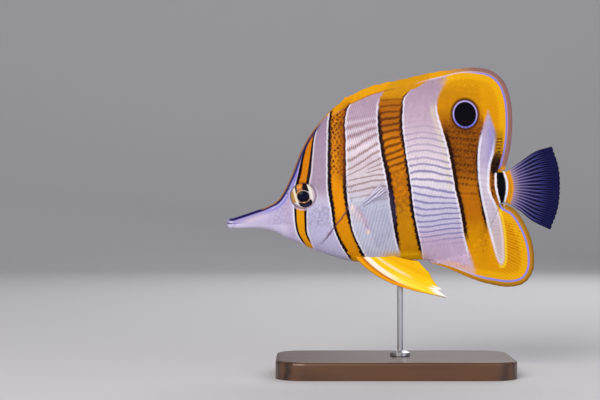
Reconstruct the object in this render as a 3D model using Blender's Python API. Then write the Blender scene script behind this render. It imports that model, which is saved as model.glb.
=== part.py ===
# Copperband butterflyfish, life size, swimming towards -X on a display stand.
#
# The fish is drawn in its own millimetres: "back" runs from the tip of the snout towards the tail,
# "up" is measured from the level of that tip, and "side" goes out of a flank. Its left flank faces -Y.
# Flesh and median fins are lens-shaped solids: a grid in the side view, given a half thickness at
# each point. Paired fins are curved sheets. Neighbouring nodes keep a thin gap.

import math

import bmesh
import bpy
import numpy as np
from mathutils import Matrix

MM = 0.001
GAP = 0.3

# Whole fish
TOTAL_LENGTH = 167.0
SNOUT_HEIGHT = 76.0
TAIL_SWAY = 2.5
SWAY_START = 95.0

# Outlines of the flesh, as (back, up), from the lips to the root of the tail fin
BACK_LINE = (
    (0.0, 0.2), (0.5, 1.25), (1.5, 1.8), (2.7, 1.75), (4.2, 2.25), (12.5, 5.0), (20.5, 8.0), (25.8, 11.4), (31.6, 21.9),
    (37.4, 36.4), (44.4, 47.6), (55.8, 58.9), (75.0, 65.2), (100.0, 68.4), (116.5, 63.8),
    (127.5, 52.5), (133.4, 38.5), (136.2, 26.8), (140.0, 24.9),
)
BELLY_LINE = (
    (0.2, -1.4), (0.8, -2.65), (1.9, -3.2), (3.2, -3.0), (5.5, -3.15), (17.5, -3.2), (24.0, -4.9), (31.6, -8.7), (46.3, -14.7),
    (61.8, -19.4), (79.0, -19.9), (95.0, -18.8), (108.0, -19.2), (119.0, -15.4), (128.5, -7.0),
    (134.0, 2.5), (137.0, 9.4), (141.0, 9.6),
)
MOUTH_LINE_UP = -0.85
JAW_LENGTH = 7.8
SNOUT_LENGTH = 21.0

# Half width of the flesh, height of its widest line, half thickness of its upper and lower edges,
# where the fins are rooted, and how it narrows to them: 0.5 is round, and over 1 runs out into a fin
WIDTH_STATIONS = (
    # back, half width, widest at, top edge, bottom edge, top narrowing, bottom narrowing
    (0.0, 1.0, -0.6, 0.3, 0.3, 0.5, 0.5),
    (0.8, 1.95, -0.7, 0.3, 0.3, 0.5, 0.5),
    (1.9, 2.35, -0.8, 0.3, 0.3, 0.5, 0.5),
    (3.2, 2.0, -0.6, 0.3, 0.3, 0.5, 0.5),
    (6.0, 2.15, -0.2, 0.3, 0.3, 0.5, 0.5),
    (17.5, 3.5, 1.2, 0.3, 0.3, 0.55, 0.52),
    (26.0, 5.3, 4.0, 0.3, 0.3, 0.6, 0.54),
    (38.0, 7.9, 9.0, 0.4, 0.4, 0.62, 0.56),
    (52.0, 9.9, 10.0, 0.7, 0.5, 0.7, 0.56),
    (68.0, 10.9, 10.0, 1.0, 0.6, 0.92, 0.56),
    (88.0, 10.7, 12.0, 1.2, 0.7, 1.05, 0.6),
    (105.0, 9.3, 15.0, 1.4, 1.2, 1.1, 0.85),
    (120.0, 6.9, 17.0, 1.4, 1.3, 1.1, 1.05),
    (133.0, 4.2, 17.6, 1.2, 1.2, 0.9, 0.9),
    (141.5, 2.6, 17.3, 0.9, 0.9, 0.6, 0.6),
)

# Gill opening, from the throat up to the nape, and the cover over it
GILL_OPENING = ((47.0, -15.0), (52.5, -5.0), (56.8, 4.0), (57.8, 14.0), (55.0, 34.0), (53.0, 56.8))
COVER_FRONT = ((44.6, -11.0), (46.9, -3.0), (47.9, 5.0), (48.8, 13.0), (52.6, 24.0))
COVER_REAR = ((46.8, -12.0), (54.2, -3.4), (58.6, 4.4), (59.4, 12.4), (58.4, 18.4), (54.8, 24.6))
COVER_THICKNESS = 0.9

# Tail stalk
STALK_START_TOP = 135.9
STALK_START_BELLY = 136.4
STALK_END = ((140.0, 9.6), (141.3, 17.4), (139.4, 25.0))

# Dorsal fin: spines in front, soft rays behind, as margins from front to rear
DORSAL_START = 56.5
DORSAL_SOFT_START = 101.0
DORSAL_END = 136.1
SPINY_MARGIN = (
    (58.0, 61.1), (63.0, 63.9), (69.7, 67.2), (76.3, 69.2), (86.4, 71.2), (103.1, 74.9), (117.4, 77.0),
)
SOFT_DORSAL_MARGIN = (
    (118.2, 77.1), (123.2, 77.3), (132.0, 75.8), (138.2, 70.8), (141.6, 62.5), (142.8, 50.0),
    (141.9, 38.0), (139.7, 28.4), (138.7, 25.6),
)
DORSAL_SPINES = 9
DORSAL_RAYS = 29
SPINE_NOTCH = 0.2
RAY_NOTCH = 0.01

# Anal fin, the same way
ANAL_START = 100.5
ANAL_SOFT_START = 110.5
ANAL_END = 136.5
ANAL_SPINE_MARGIN = ((102.0, -20.5), (108.7, -22.5), (118.0, -26.6), (124.2, -29.1))
SOFT_ANAL_MARGIN = (
    (124.8, -29.3), (130.6, -30.9), (141.5, -32.5), (149.2, -30.4), (153.2, -24.5), (153.6, -14.5),
    (150.6, -4.0), (144.5, 5.8), (139.2, 9.0),
)
ANAL_SPINES = 3
ANAL_RAYS = 20

# Tail fin
TAIL_MARGIN = ((162.0, -4.0), (165.6, 6.0), (166.9, 17.2), (166.0, 28.0), (162.8, 38.0))
TAIL_LOWER_EDGE = ((140.7, 9.3), (146.5, 5.6), (153.0, 0.4), (162.0, -4.0))
TAIL_UPPER_EDGE = ((140.1, 25.3), (147.0, 30.3), (154.5, 35.4), (162.8, 38.0))
TAIL_RAYS = 17

# Pectoral fin: root and margin from the top ray to the bottom one
PECTORAL_ROOT = ((63.4, 7.4), (65.2, 2.8), (66.4, -1.8))
PECTORAL_MARGIN = ((78.2, 19.6), (82.8, 14.6), (84.4, 7.0), (83.4, -1.6), (80.0, -8.2), (74.8, -12.8))
PECTORAL_RAYS = 14
PECTORAL_SPREAD = 12.0
PECTORAL_NOTCH = 0.04

# Pelvic fins: the spine and then the rays, each as its root, its bend and its tip
PELVIC_RAYS = (
    ((64.6, -15.2), (71.0, -28.0), (92.6, -33.9)),
    ((68.4, -15.2), (81.0, -31.0), (110.3, -37.7)),
    ((71.4, -15.2), (85.0, -27.6), (107.8, -33.8)),
    ((74.0, -15.2), (87.0, -24.0), (104.2, -31.0)),
    ((76.2, -15.2), (87.5, -20.8), (100.8, -25.2)),
    ((78.0, -15.2), (87.0, -18.4), (95.4, -19.4)),
)
PELVIC_NOTCHES = (0.0, 0.1, 0.04, 0.02, 0.02)
PELVIC_SIDE = 3.3
PELVIC_SPREAD = 5.0

# Eyes and nostrils
EYE_CENTRE = (38.15, 13.1)
EYE_RADIUS = 6.3
EYE_DEPTH = 3.3
EYE_SUNK = 1.6
NOSTRILS = ((30.9, 16.6, 0.6), (30.2, 14.2, 0.5))

# Fin thicknesses
MARGIN_HALF = 0.28
RIDGE_HALF = 0.2
SHEET_ROOT_HALF = 0.7

# Stand
BASE_LENGTH = 118.0
BASE_DEPTH = 66.0
BASE_HEIGHT = 9.0
BASE_CORNER = 14.0
BASE_EDGE = 1.5
COLLAR_RADIUS = 5.0
COLLAR_HEIGHT = 2.6
ROD_RADIUS = 1.5
ROD_BACK = 86.5


def clear_scene():
    """Empties the scene, so that only the fish and its stand are left in it."""
    for old in list(bpy.data.objects):
        bpy.data.objects.remove(old)


def make_material(name, colour, roughness, metallic=0.0):
    """A plain finish with its colour, roughness and metallic value."""
    material = bpy.data.materials.new(name)
    material.use_nodes = True
    shader = material.node_tree.nodes["Principled BSDF"]
    shader.inputs["Base Color"].default_value = (*colour, 1.0)
    shader.inputs["Roughness"].default_value = roughness
    shader.inputs["Metallic"].default_value = metallic
    material.diffuse_color = (*colour, 1.0)
    return material


def spline(points, count):
    """Evenly spaced places along a smooth curve through the points, in two or three dimensions."""
    knots = np.asarray(points, float)
    knots = np.vstack([2 * knots[0] - knots[1], knots, 2 * knots[-1] - knots[-2]])
    steps = np.sqrt(np.linalg.norm(np.diff(knots, axis=0), axis=1))
    times = np.concatenate([[0.0], np.cumsum(steps)])
    dense = []
    for i in range(1, len(knots) - 2):
        p0, p1, p2, p3 = knots[i - 1 : i + 3]
        t0, t1, t2, t3 = times[i - 1 : i + 3]
        t = np.linspace(t1, t2, 24, endpoint=False)[:, None]
        a1 = (t1 - t) / (t1 - t0) * p0 + (t - t0) / (t1 - t0) * p1
        a2 = (t2 - t) / (t2 - t1) * p1 + (t - t1) / (t2 - t1) * p2
        a3 = (t3 - t) / (t3 - t2) * p2 + (t - t2) / (t3 - t2) * p3
        b1 = (t2 - t) / (t2 - t0) * a1 + (t - t0) / (t2 - t0) * a2
        b2 = (t3 - t) / (t3 - t1) * a2 + (t - t1) / (t3 - t1) * a3
        dense.append((t2 - t) / (t2 - t1) * b1 + (t - t1) / (t2 - t1) * b2)
    dense.append(knots[-2][None, :])
    return respaced(np.vstack(dense), np.linspace(0.0, 1.0, count))


def respaced(line, shares):
    """Places along a polyline at the given shares of its length."""
    run = np.concatenate([[0.0], np.cumsum(np.linalg.norm(np.diff(line, axis=0), axis=1))])
    wanted = np.asarray(shares) * run[-1]
    return np.stack([np.interp(wanted, run, line[:, k]) for k in range(line.shape[1])], axis=1)


BACK_CURVE = spline(BACK_LINE, 400)
BELLY_CURVE = spline(BELLY_LINE, 400)


def stretch(curve, start, end, shares):
    """The part of the back or belly curve between two distances from the snout."""
    inside = curve[(curve[:, 0] > start) & (curve[:, 0] < end)]
    ends = [[x, np.interp(x, curve[:, 0], curve[:, 1])] for x in (start, end)]
    return respaced(np.vstack([ends[0], inside, ends[1]]), shares)


def moved_off(line, distance):
    """A curve in the side view moved sideways, to its left as it runs for a positive distance."""
    along = np.gradient(line, axis=0)
    along /= np.linalg.norm(along, axis=1)[:, None]
    return line + distance * np.stack([-along[:, 1], along[:, 0]], axis=1)


def station_values(back):
    """The columns of the width stations, but the first, at each distance from the snout."""
    stations = np.asarray(WIDTH_STATIONS)
    slopes = np.gradient(stations, stations[:, 0], axis=0)
    x = np.clip(back, stations[0, 0], stations[-1, 0])
    i = np.clip(np.searchsorted(stations[:, 0], x) - 1, 0, len(stations) - 2)
    span = stations[i + 1, 0] - stations[i, 0]
    t = (x - stations[i, 0]) / span
    values = []
    for k in range(1, stations.shape[1]):
        near, far = stations[i, k], stations[i + 1, k]
        values.append(
            near * (1 + 2 * t) * (1 - t) ** 2
            + far * t**2 * (3 - 2 * t)
            + slopes[i, k] * span * t * (1 - t) ** 2
            - slopes[i + 1, k] * span * t**2 * (1 - t)
        )
    return values


def half_thickness(back, up, grown=0.0):
    """Half thickness of the flesh at places in the side view."""
    width, widest, top_edge, bottom_edge, top_power, bottom_power = station_values(back)
    top = np.interp(back, BACK_CURVE[:, 0], BACK_CURVE[:, 1])
    bottom = np.interp(back, BELLY_CURVE[:, 0], BELLY_CURVE[:, 1])
    above = np.clip((up - widest) / (top - widest), 0.0, 1.0)
    below = np.clip((widest - up) / (widest - bottom), 0.0, 1.0)
    upper = top_edge + (width - top_edge) * (1 - above**2) ** top_power
    lower = bottom_edge + (width - bottom_edge) * (1 - below**2) ** bottom_power
    return np.where(up > widest, upper, lower) + grown


def sway(back):
    """How far the middle plane of the fish is bent to its right, growing towards the tail."""
    share = np.clip((np.asarray(back) - SWAY_START) / (TOTAL_LENGTH - SWAY_START), 0.0, 1.0)
    return TAIL_SWAY * share**2


def edge_shares(count):
    """Shares from 0 to 1, closer together at both ends, for rounded sections."""
    return 0.5 - 0.5 * np.cos(np.linspace(0.0, math.pi, count))


def patch(low, high, front, rear):
    """Grid between four curves. Low and high run from front to rear, the others from low to high."""
    u = np.linspace(0.0, 1.0, len(low))[:, None, None]
    v = np.linspace(0.0, 1.0, len(front))
    rise = np.linalg.norm(front - front[0], axis=1) / np.linalg.norm(front[-1] - front[0])
    v = (rise if np.all(np.diff(rise) > 0) else v)[None, :, None]
    across = (1 - v) * low[:, None, :] + v * high[:, None, :]
    along = (1 - u) * front[None, :, :] + u * rear[None, :, :]
    corners = (
        (1 - u) * (1 - v) * low[0] + u * (1 - v) * low[-1] + (1 - u) * v * high[0] + u * v * high[-1]
    )
    return across + along - corners


def to_world(back, up, side):
    """World coordinates in metres of places given in the fish's own millimetres."""
    x = (np.asarray(back, float) - TOTAL_LENGTH / 2) * MM
    z = (np.asarray(up, float) + SNOUT_HEIGHT) * MM
    y = np.asarray(side, float) * MM
    return np.stack(np.broadcast_arrays(x, y, z), axis=-1)


def shell_object(name, near, far, material, smooth_angle=40.0):
    """Closed solid between two grids of the same size, with the same triangles on both."""
    rows, columns = near.shape[:2]
    index = np.arange(rows * columns).reshape(rows, columns)
    offset = rows * columns
    faces = []
    for i in range(rows - 1):
        for j in range(columns - 1):
            a, b, c, d = index[i, j], index[i + 1, j], index[i + 1, j + 1], index[i, j + 1]
            faces += [(a, b, c), (a, c, d)]
            faces += [(a + offset, c + offset, b + offset), (a + offset, d + offset, c + offset)]
    rim = [*index[:-1, 0], *index[-1, :-1], *index[:0:-1, -1], *index[0, :0:-1]]
    for a, b in zip(rim, rim[1:] + rim[:1]):
        faces += [(a, a + offset, b + offset), (a, b + offset, b)]
    points = np.vstack([near.reshape(-1, 3), far.reshape(-1, 3)])
    return mesh_object(name, points, faces, material, smooth_angle)


def mesh_object(name, points, faces, material, smooth_angle=40.0):
    """Object from points and faces, its normals outwards and its round parts shaded smooth."""
    mesh = bpy.data.meshes.new(name)
    mesh.from_pydata([tuple(p) for p in points], [], [tuple(int(i) for i in f) for f in faces])
    form = bmesh.new()
    form.from_mesh(mesh)
    bmesh.ops.recalc_face_normals(form, faces=form.faces)
    if form.calc_volume(signed=True) < 0:
        bmesh.ops.reverse_faces(form, faces=form.faces)
    form.to_mesh(mesh)
    form.free()
    mesh.shade_smooth()
    mesh.set_sharp_from_angle(angle=math.radians(smooth_angle))
    mesh.materials.append(material)
    made = bpy.data.objects.new(name, mesh)
    bpy.context.scene.collection.objects.link(made)
    return made


def lens_object(name, grid, half, material):
    """Solid of a side-view grid with a half thickness at each point, on the fish's middle plane."""
    back, up = grid[..., 0], grid[..., 1]
    middle = sway(back)
    left = to_world(back, up, middle - half)
    right = to_world(back, up, middle + half)
    return shell_object(name, left, right, material)


def sheet_object(name, centre, half, material):
    """Solid of a curved sheet: a grid of places in the fish's millimetres, half thick each way."""
    along = np.gradient(centre, axis=0)
    across = np.gradient(centre, axis=1)
    normal = np.cross(along, across)
    normal /= np.linalg.norm(normal, axis=2)[..., None]
    near = centre - normal * half[..., None]
    far = centre + normal * half[..., None]
    near = to_world(near[..., 0], near[..., 2], near[..., 1])
    far = to_world(far[..., 0], far[..., 2], far[..., 1])
    return shell_object(name, near, far, material)


def apply_boolean(target, cutter, operation="DIFFERENCE"):
    """Cuts or joins a solid with another, which is then removed."""
    modifier = target.modifiers.new("join", "BOOLEAN")
    modifier.operation = operation
    modifier.solver = "EXACT"
    modifier.object = cutter
    bpy.context.view_layer.update()
    graph = bpy.context.evaluated_depsgraph_get()
    result = bpy.data.meshes.new_from_object(target.evaluated_get(graph))
    target.modifiers.clear()
    target.data = result
    bpy.data.objects.remove(cutter)
    keep_largest(target)


def keep_largest(target):
    """Keeps only the largest connected surface of a mesh, and drops loose scraps."""
    form = bmesh.new()
    form.from_mesh(target.data)
    bmesh.ops.triangulate(form, faces=form.faces)
    unseen = set(form.verts)
    groups = []
    while unseen:
        front = [unseen.pop()]
        group = set(front)
        while front:
            vert = front.pop()
            for edge in vert.link_edges:
                other = edge.other_vert(vert)
                if other in unseen:
                    unseen.discard(other)
                    group.add(other)
                    front.append(other)
        groups.append(group)
    groups.sort(key=len)
    for group in groups[:-1]:
        bmesh.ops.delete(form, geom=list(group), context="VERTS")
    form.to_mesh(target.data)
    form.free()


def ellipsoid(name, centre, radii, material, rings=10, segments=20):
    """Ellipsoid in the fish's millimetres: centre is (back, up, side), radii are in the same order."""
    points = [(0.0, 0.0, -1.0)]
    for i in range(1, rings):
        tilt = math.pi * i / rings
        for j in range(segments):
            turn = 2 * math.pi * j / segments
            points.append((math.sin(tilt) * math.cos(turn), math.sin(tilt) * math.sin(turn), -math.cos(tilt)))
    points.append((0.0, 0.0, 1.0))
    last = len(points) - 1
    faces = []
    for j in range(segments):
        k = (j + 1) % segments
        faces.append((0, 1 + k, 1 + j))
        faces.append((last, last - segments + j, last - segments + k))
        for i in range(rings - 2):
            a = 1 + i * segments
            faces.append((a + j, a + k, a + segments + k))
            faces.append((a + j, a + segments + k, a + segments + j))
    local = np.asarray(points) * np.asarray(radii) + np.asarray(centre)
    return mesh_object(name, to_world(local[:, 0], local[:, 1], local[:, 2]), faces, material)


def fin_halves(shares, run, root_half, ray_count):
    """Half thickness over a fin: thick at its root, thin at its margin, with a ridge on each ray."""
    run = np.clip(run, 0.0, 1.0)[None, :]
    membrane = MARGIN_HALF + (root_half[:, None] - MARGIN_HALF) * (1 - run) ** 1.6
    rise = np.clip(run * 6.0, 0.0, 1.0) * (1 - 0.45 * run)
    return membrane + RIDGE_HALF * crest(shares, ray_count)[:, None] * rise


def crest(shares, ray_count):
    """1 on each ray and 0 half way between two."""
    place = shares * ray_count
    return 1 - 2 * np.abs(place - np.floor(place) - 0.5)


def ray_shares(ray_count):
    """Shares across a fin: the hollow beside each ray, its crest, and the last hollow."""
    return np.linspace(0.0, 1.0, 2 * ray_count + 1)


def notched(base, outer, shares, ray_count, depth):
    """Margin drawn in between the rays by a share of the fin's height, less so towards the rear."""
    hollow = (1 - crest(shares, ray_count)) * (1 - 0.8 * shares)
    hollow[0] = hollow[-1] = 0.0
    return outer + (base - outer) * depth * hollow[:, None]


def median_fin(name, root, margin, rays, rows, notch, material, front=None, rear=None):
    """Fin on the middle plane, between a root curve and a margin, with its rays as ridges."""
    shares = ray_shares(rays)
    base = respaced(root, shares)
    outer = notched(base, respaced(margin, shares), shares, rays, notch)
    run = np.linspace(0.0, 1.0, rows)
    first = base[0] + run[:, None] * (outer[0] - base[0]) if front is None else respaced(front, run)
    last = base[-1] + run[:, None] * (outer[-1] - base[-1]) if rear is None else respaced(rear, run)
    u = shares[:, None, None]
    v = run[None, :, None]
    across = (1 - v) * base[:, None, :] + v * outer[:, None, :]
    along = (1 - u) * first[None, :, :] + u * last[None, :, :]
    corners = (1 - u) * ((1 - v) * base[0] + v * outer[0]) + u * ((1 - v) * base[-1] + v * outer[-1])
    grid = across + along - corners
    root_half = np.minimum(half_thickness(base[:, 0], base[:, 1]), 1.5)
    lens_object(name, grid, fin_halves(shares, run, root_half, rays), material)


def build_jaws(material):
    """Upper jaw, lower jaw and the tube of the snout, parted at the mouth."""
    shares = np.linspace(0.0, 1.0, 11) ** 1.5
    rise = edge_shares(7)[:, None]
    top = stretch(BACK_CURVE, 0.05, JAW_LENGTH, shares)
    chin = stretch(BELLY_CURVE, 0.25, JAW_LENGTH, shares)
    lip_up = np.stack([top[:, 0], np.full(len(top), MOUTH_LINE_UP + GAP / 2)], axis=1)
    lip_low = np.stack([chin[:, 0], np.full(len(chin), MOUTH_LINE_UP - GAP / 2)], axis=1)
    for name, low, high in (("upper_jaw", lip_up, top), ("lower_jaw", chin, lip_low)):
        front = low[0] + rise * (high[0] - low[0])
        rear = low[-1] + rise * (high[-1] - low[-1])
        grid = patch(low, high, front, rear)
        lens_object(name, grid, half_thickness(grid[..., 0], grid[..., 1]), material)
    shares = np.linspace(0.0, 1.0, 7)
    rise = edge_shares(11)[:, None]
    low = stretch(BELLY_CURVE, JAW_LENGTH + GAP, SNOUT_LENGTH, shares)
    high = stretch(BACK_CURVE, JAW_LENGTH + GAP, SNOUT_LENGTH, shares)
    grid = patch(low, high, low[0] + rise * (high[0] - low[0]), low[-1] + rise * (high[-1] - low[-1]))
    lens_object("snout", grid, half_thickness(grid[..., 0], grid[..., 1]), material)


def build_head(material):
    """Head from the snout to the gill opening, with sockets for the eyes and pits for the nostrils."""
    opening = spline(GILL_OPENING, 60)
    shares = np.linspace(0.0, 1.0, 17)
    rise = edge_shares(19)
    start = SNOUT_LENGTH + GAP
    low = stretch(BELLY_CURVE, start, opening[0, 0] - GAP, shares)
    high = stretch(BACK_CURVE, start, opening[-1, 0] - GAP, shares)
    rear = respaced(opening, rise) - np.array([GAP, 0.0])
    rear[0], rear[-1] = low[-1], high[-1]
    front = low[0] + rise[:, None] * (high[0] - low[0])
    grid = patch(low, high, front, rear)
    head = lens_object("head", grid, half_thickness(grid[..., 0], grid[..., 1]), material)
    for side in (-1, 1):
        apply_boolean(head, eye_solid("socket", side, GAP, material))
        for back, up, radius in NOSTRILS:
            flank = float(half_thickness(np.array([back]), np.array([up]))[0])
            pit = ellipsoid("pit", (back, up, side * flank), (radius,) * 3, material, 6, 8)
            apply_boolean(head, pit)


def eye_solid(name, side, grown, material):
    """One eyeball, or with grown over 0 the space for it."""
    flank = float(half_thickness(np.array([EYE_CENTRE[0]]), np.array([EYE_CENTRE[1]]))[0])
    centre = (*EYE_CENTRE, side * (flank - EYE_SUNK))
    radii = (EYE_RADIUS + grown, EYE_RADIUS + grown, EYE_DEPTH + grown)
    return ellipsoid(name, centre, radii, material)


def build_gill_cover(name, side, material):
    """Bony plate over the gill opening, thin at its edges, laid on the head."""
    shares = np.linspace(0.0, 1.0, 9)
    front = respaced(spline(COVER_FRONT, 40), shares)
    rear = respaced(spline(COVER_REAR, 40), shares)
    across = np.linspace(0.0, 1.0, 7)[:, None, None]
    grid = (1 - across) * front[None] + across * rear[None]
    inner = half_thickness(grid[..., 0], grid[..., 1], GAP)
    u = across[..., 0]
    v = shares[None, :]
    bulge = 0.5 + (COVER_THICKNESS - 0.5) * np.sin(math.pi * np.clip(v, 0, 1)) ** 0.6 * (0.4 + 0.6 * u)
    middle = sway(grid[..., 0])
    near = to_world(grid[..., 0], grid[..., 1], middle + side * inner)
    far = to_world(grid[..., 0], grid[..., 1], middle + side * (inner + bulge))
    shell_object(name, near, far, material)


def trunk_solid(name, grown, material):
    """Trunk from the gill opening to the tail stalk, or with grown over 0 a cutter around it."""
    opening = spline(GILL_OPENING, 60)
    shares = np.linspace(0.0, 1.0, 25)
    rise = edge_shares(21)
    low = stretch(BELLY_CURVE, opening[0, 0], STALK_START_BELLY, shares)
    high = stretch(BACK_CURVE, opening[-1, 0], STALK_START_TOP, shares)
    low = moved_off(low, -grown)
    high = moved_off(high, grown)
    front = respaced(opening, rise)
    front[0], front[-1] = low[0], high[0]
    rear = low[-1] + rise[:, None] * (high[-1] - low[-1])
    grid = patch(low, high, front, rear)
    return lens_object(name, grid, half_thickness(grid[..., 0], grid[..., 1], grown), material)


def build_stalk(material):
    """Tail stalk between the trunk and the root of the tail fin."""
    end = spline(STALK_END, 40)
    shares = np.linspace(0.0, 1.0, 4)
    rise = edge_shares(13)
    low = stretch(BELLY_CURVE, STALK_START_BELLY + GAP, end[0, 0], shares)
    high = stretch(BACK_CURVE, STALK_START_TOP + GAP, end[-1, 0], shares)
    rear = respaced(end, rise)
    rear[0], rear[-1] = low[-1], high[-1]
    front = low[0] + rise[:, None] * (high[0] - low[0])
    grid = patch(low, high, front, rear)
    lens_object("tail_stalk", grid, half_thickness(grid[..., 0], grid[..., 1]), material)


def build_median_fins(yellow, clear):
    """Dorsal and anal fins, each with its spiny and soft part, and the tail fin."""
    fine = np.linspace(0.0, 1.0, 160)
    parting = 1.5 * GAP
    root = moved_off(stretch(BACK_CURVE, DORSAL_START, DORSAL_SOFT_START, fine), GAP)
    margin = spline(SPINY_MARGIN, 160)
    median_fin("dorsal_fin_spiny", root, margin, DORSAL_SPINES, 5, SPINE_NOTCH, yellow)
    root = moved_off(stretch(BACK_CURVE, DORSAL_SOFT_START + parting, DORSAL_END, fine), GAP)
    margin = spline(SOFT_DORSAL_MARGIN, 160)
    median_fin("dorsal_fin_soft", root, margin, DORSAL_RAYS, 8, RAY_NOTCH, yellow)
    root = moved_off(stretch(BELLY_CURVE, ANAL_START, ANAL_SOFT_START, fine), -GAP)
    margin = spline(ANAL_SPINE_MARGIN, 160)
    median_fin("anal_fin_spiny", root, margin, ANAL_SPINES, 5, SPINE_NOTCH, yellow)
    root = moved_off(stretch(BELLY_CURVE, ANAL_SOFT_START + parting, ANAL_END, fine), -GAP)
    margin = spline(SOFT_ANAL_MARGIN, 160)
    median_fin("anal_fin_soft", root, margin, ANAL_RAYS, 8, RAY_NOTCH, yellow)
    root = spline(STALK_END, 160) + np.array([GAP, 0.0])
    lower = spline(TAIL_LOWER_EDGE, 60)
    upper = spline(TAIL_UPPER_EDGE, 60)
    root[0], root[-1] = lower[0], upper[0]
    margin = spline(TAIL_MARGIN, 160)
    median_fin("caudal_fin", root, margin, TAIL_RAYS, 9, RAY_NOTCH, clear, front=lower, rear=upper)


def build_pectoral_fin(name, side, cutter, material):
    """Fan-shaped fin behind the gill opening, held a little off the flank."""
    shares = ray_shares(PECTORAL_RAYS)
    root = respaced(spline(PECTORAL_ROOT, 40), shares)
    margin = respaced(spline(PECTORAL_MARGIN, 80), shares)
    margin = notched(root, margin, shares, PECTORAL_RAYS, PECTORAL_NOTCH)
    run = np.linspace(-0.08, 1.0, 9)
    grid = root[:, None, :] + run[None, :, None] * (margin - root)[:, None, :]
    reach = np.linalg.norm(grid - root[:, None, :], axis=2) * np.sign(run)[None, :]
    flank = half_thickness(root[:, 0], root[:, 1])[:, None]
    out = flank + reach * math.sin(math.radians(PECTORAL_SPREAD))
    centre = np.stack([grid[..., 0], side * out, grid[..., 1]], axis=-1)
    half = fin_halves(shares, run, np.full(len(shares), SHEET_ROOT_HALF), PECTORAL_RAYS)
    fin = sheet_object(name, centre, half, material)
    apply_boolean(fin, cutter)


def bent_ray(ray, run):
    """Places along a ray that leaves its root towards its bend and ends at its tip."""
    root, bend, tip = (np.asarray(place) for place in ray)
    t = run[:, None]
    return (1 - t) ** 2 * root + 2 * t * (1 - t) * bend + t**2 * tip


def build_pelvic_fin(name, side, cutter, material):
    """Pointed fin under the belly, with a spine and five rays."""
    run = np.linspace(0.0, 1.0, 11)
    columns = []
    for i, ray in enumerate(PELVIC_RAYS):
        columns.append(bent_ray(ray, run))
        if i + 1 < len(PELVIC_RAYS):
            hollow = (columns[-1] + bent_ray(PELVIC_RAYS[i + 1], run)) / 2
            columns.append(hollow[0] + (hollow - hollow[0]) * (1 - PELVIC_NOTCHES[i]))
    grid = np.asarray(columns)
    reach = np.linalg.norm(grid - grid[:, :1], axis=2)
    out = PELVIC_SIDE + reach * math.sin(math.radians(PELVIC_SPREAD))
    centre = np.stack([grid[..., 0], side * out, grid[..., 1]], axis=-1)
    crests = np.arange(len(columns)) % 2 == 0
    membrane = MARGIN_HALF + (SHEET_ROOT_HALF - MARGIN_HALF) * (1 - run) ** 1.6
    half = membrane[None, :] + RIDGE_HALF * crests[:, None] * (1 - 0.45 * run[None, :])
    fin = sheet_object(name, centre, half, material)
    apply_boolean(fin, cutter)


def build_stand(wood, steel, cutter):
    """Flat base, a collar on it and one rod up to the belly."""
    bpy.ops.mesh.primitive_cube_add(size=1.0)
    base = bpy.context.object
    base.name = "stand_base"
    base.data.transform(Matrix.Diagonal((BASE_LENGTH * MM, BASE_DEPTH * MM, BASE_HEIGHT * MM, 1.0)))
    base.data.transform(Matrix.Translation((0.0, 0.0, BASE_HEIGHT / 2 * MM)))
    base.location = (0.0, 0.0, 0.0)
    form = bmesh.new()
    form.from_mesh(base.data)
    upright = [e for e in form.edges if abs(e.verts[0].co.z - e.verts[1].co.z) > BASE_HEIGHT / 2 * MM]
    bmesh.ops.bevel(form, geom=upright, offset=BASE_CORNER * MM, segments=8, affect="EDGES", profile=0.5)
    top = [e for e in form.edges if all(v.co.z > BASE_HEIGHT * 0.99 * MM for v in e.verts)]
    bmesh.ops.bevel(form, geom=top, offset=BASE_EDGE * MM, segments=3, affect="EDGES", profile=0.5)
    form.to_mesh(base.data)
    form.free()
    base.data.materials.append(wood)
    rod_x = (ROD_BACK - TOTAL_LENGTH / 2) * MM
    foot = BASE_HEIGHT + GAP
    shoulder = COLLAR_HEIGHT * 0.6
    profile = ((COLLAR_RADIUS, 0.0), (COLLAR_RADIUS, shoulder), (COLLAR_RADIUS * 0.6, COLLAR_HEIGHT))
    turned("stand_collar", profile, rod_x, foot, 28, steel)
    rod_foot = foot + COLLAR_HEIGHT + GAP
    rod_top = SNOUT_HEIGHT - 14.0 - rod_foot
    rod = turned("stand_rod", ((ROD_RADIUS, 0.0), (ROD_RADIUS, rod_top)), rod_x, rod_foot, 16, steel)
    apply_boolean(rod, cutter)


def turned(name, profile, x, foot, segments, material):
    """Solid of revolution about an upright axis at x, its profile from foot upwards."""
    points = []
    for radius, height in profile:
        for j in range(segments):
            turn = 2 * math.pi * j / segments
            points.append((x + radius * math.cos(turn) * MM, radius * math.sin(turn) * MM, (foot + height) * MM))
    faces = [tuple(range(segments))[::-1]]
    for i in range(len(profile) - 1):
        for j in range(segments):
            a, b = i * segments + j, i * segments + (j + 1) % segments
            faces.append((a, b, b + segments, a + segments))
    last = (len(profile) - 1) * segments
    faces.append(tuple(range(last, last + segments)))
    return mesh_object(name, points, faces, material)


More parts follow.
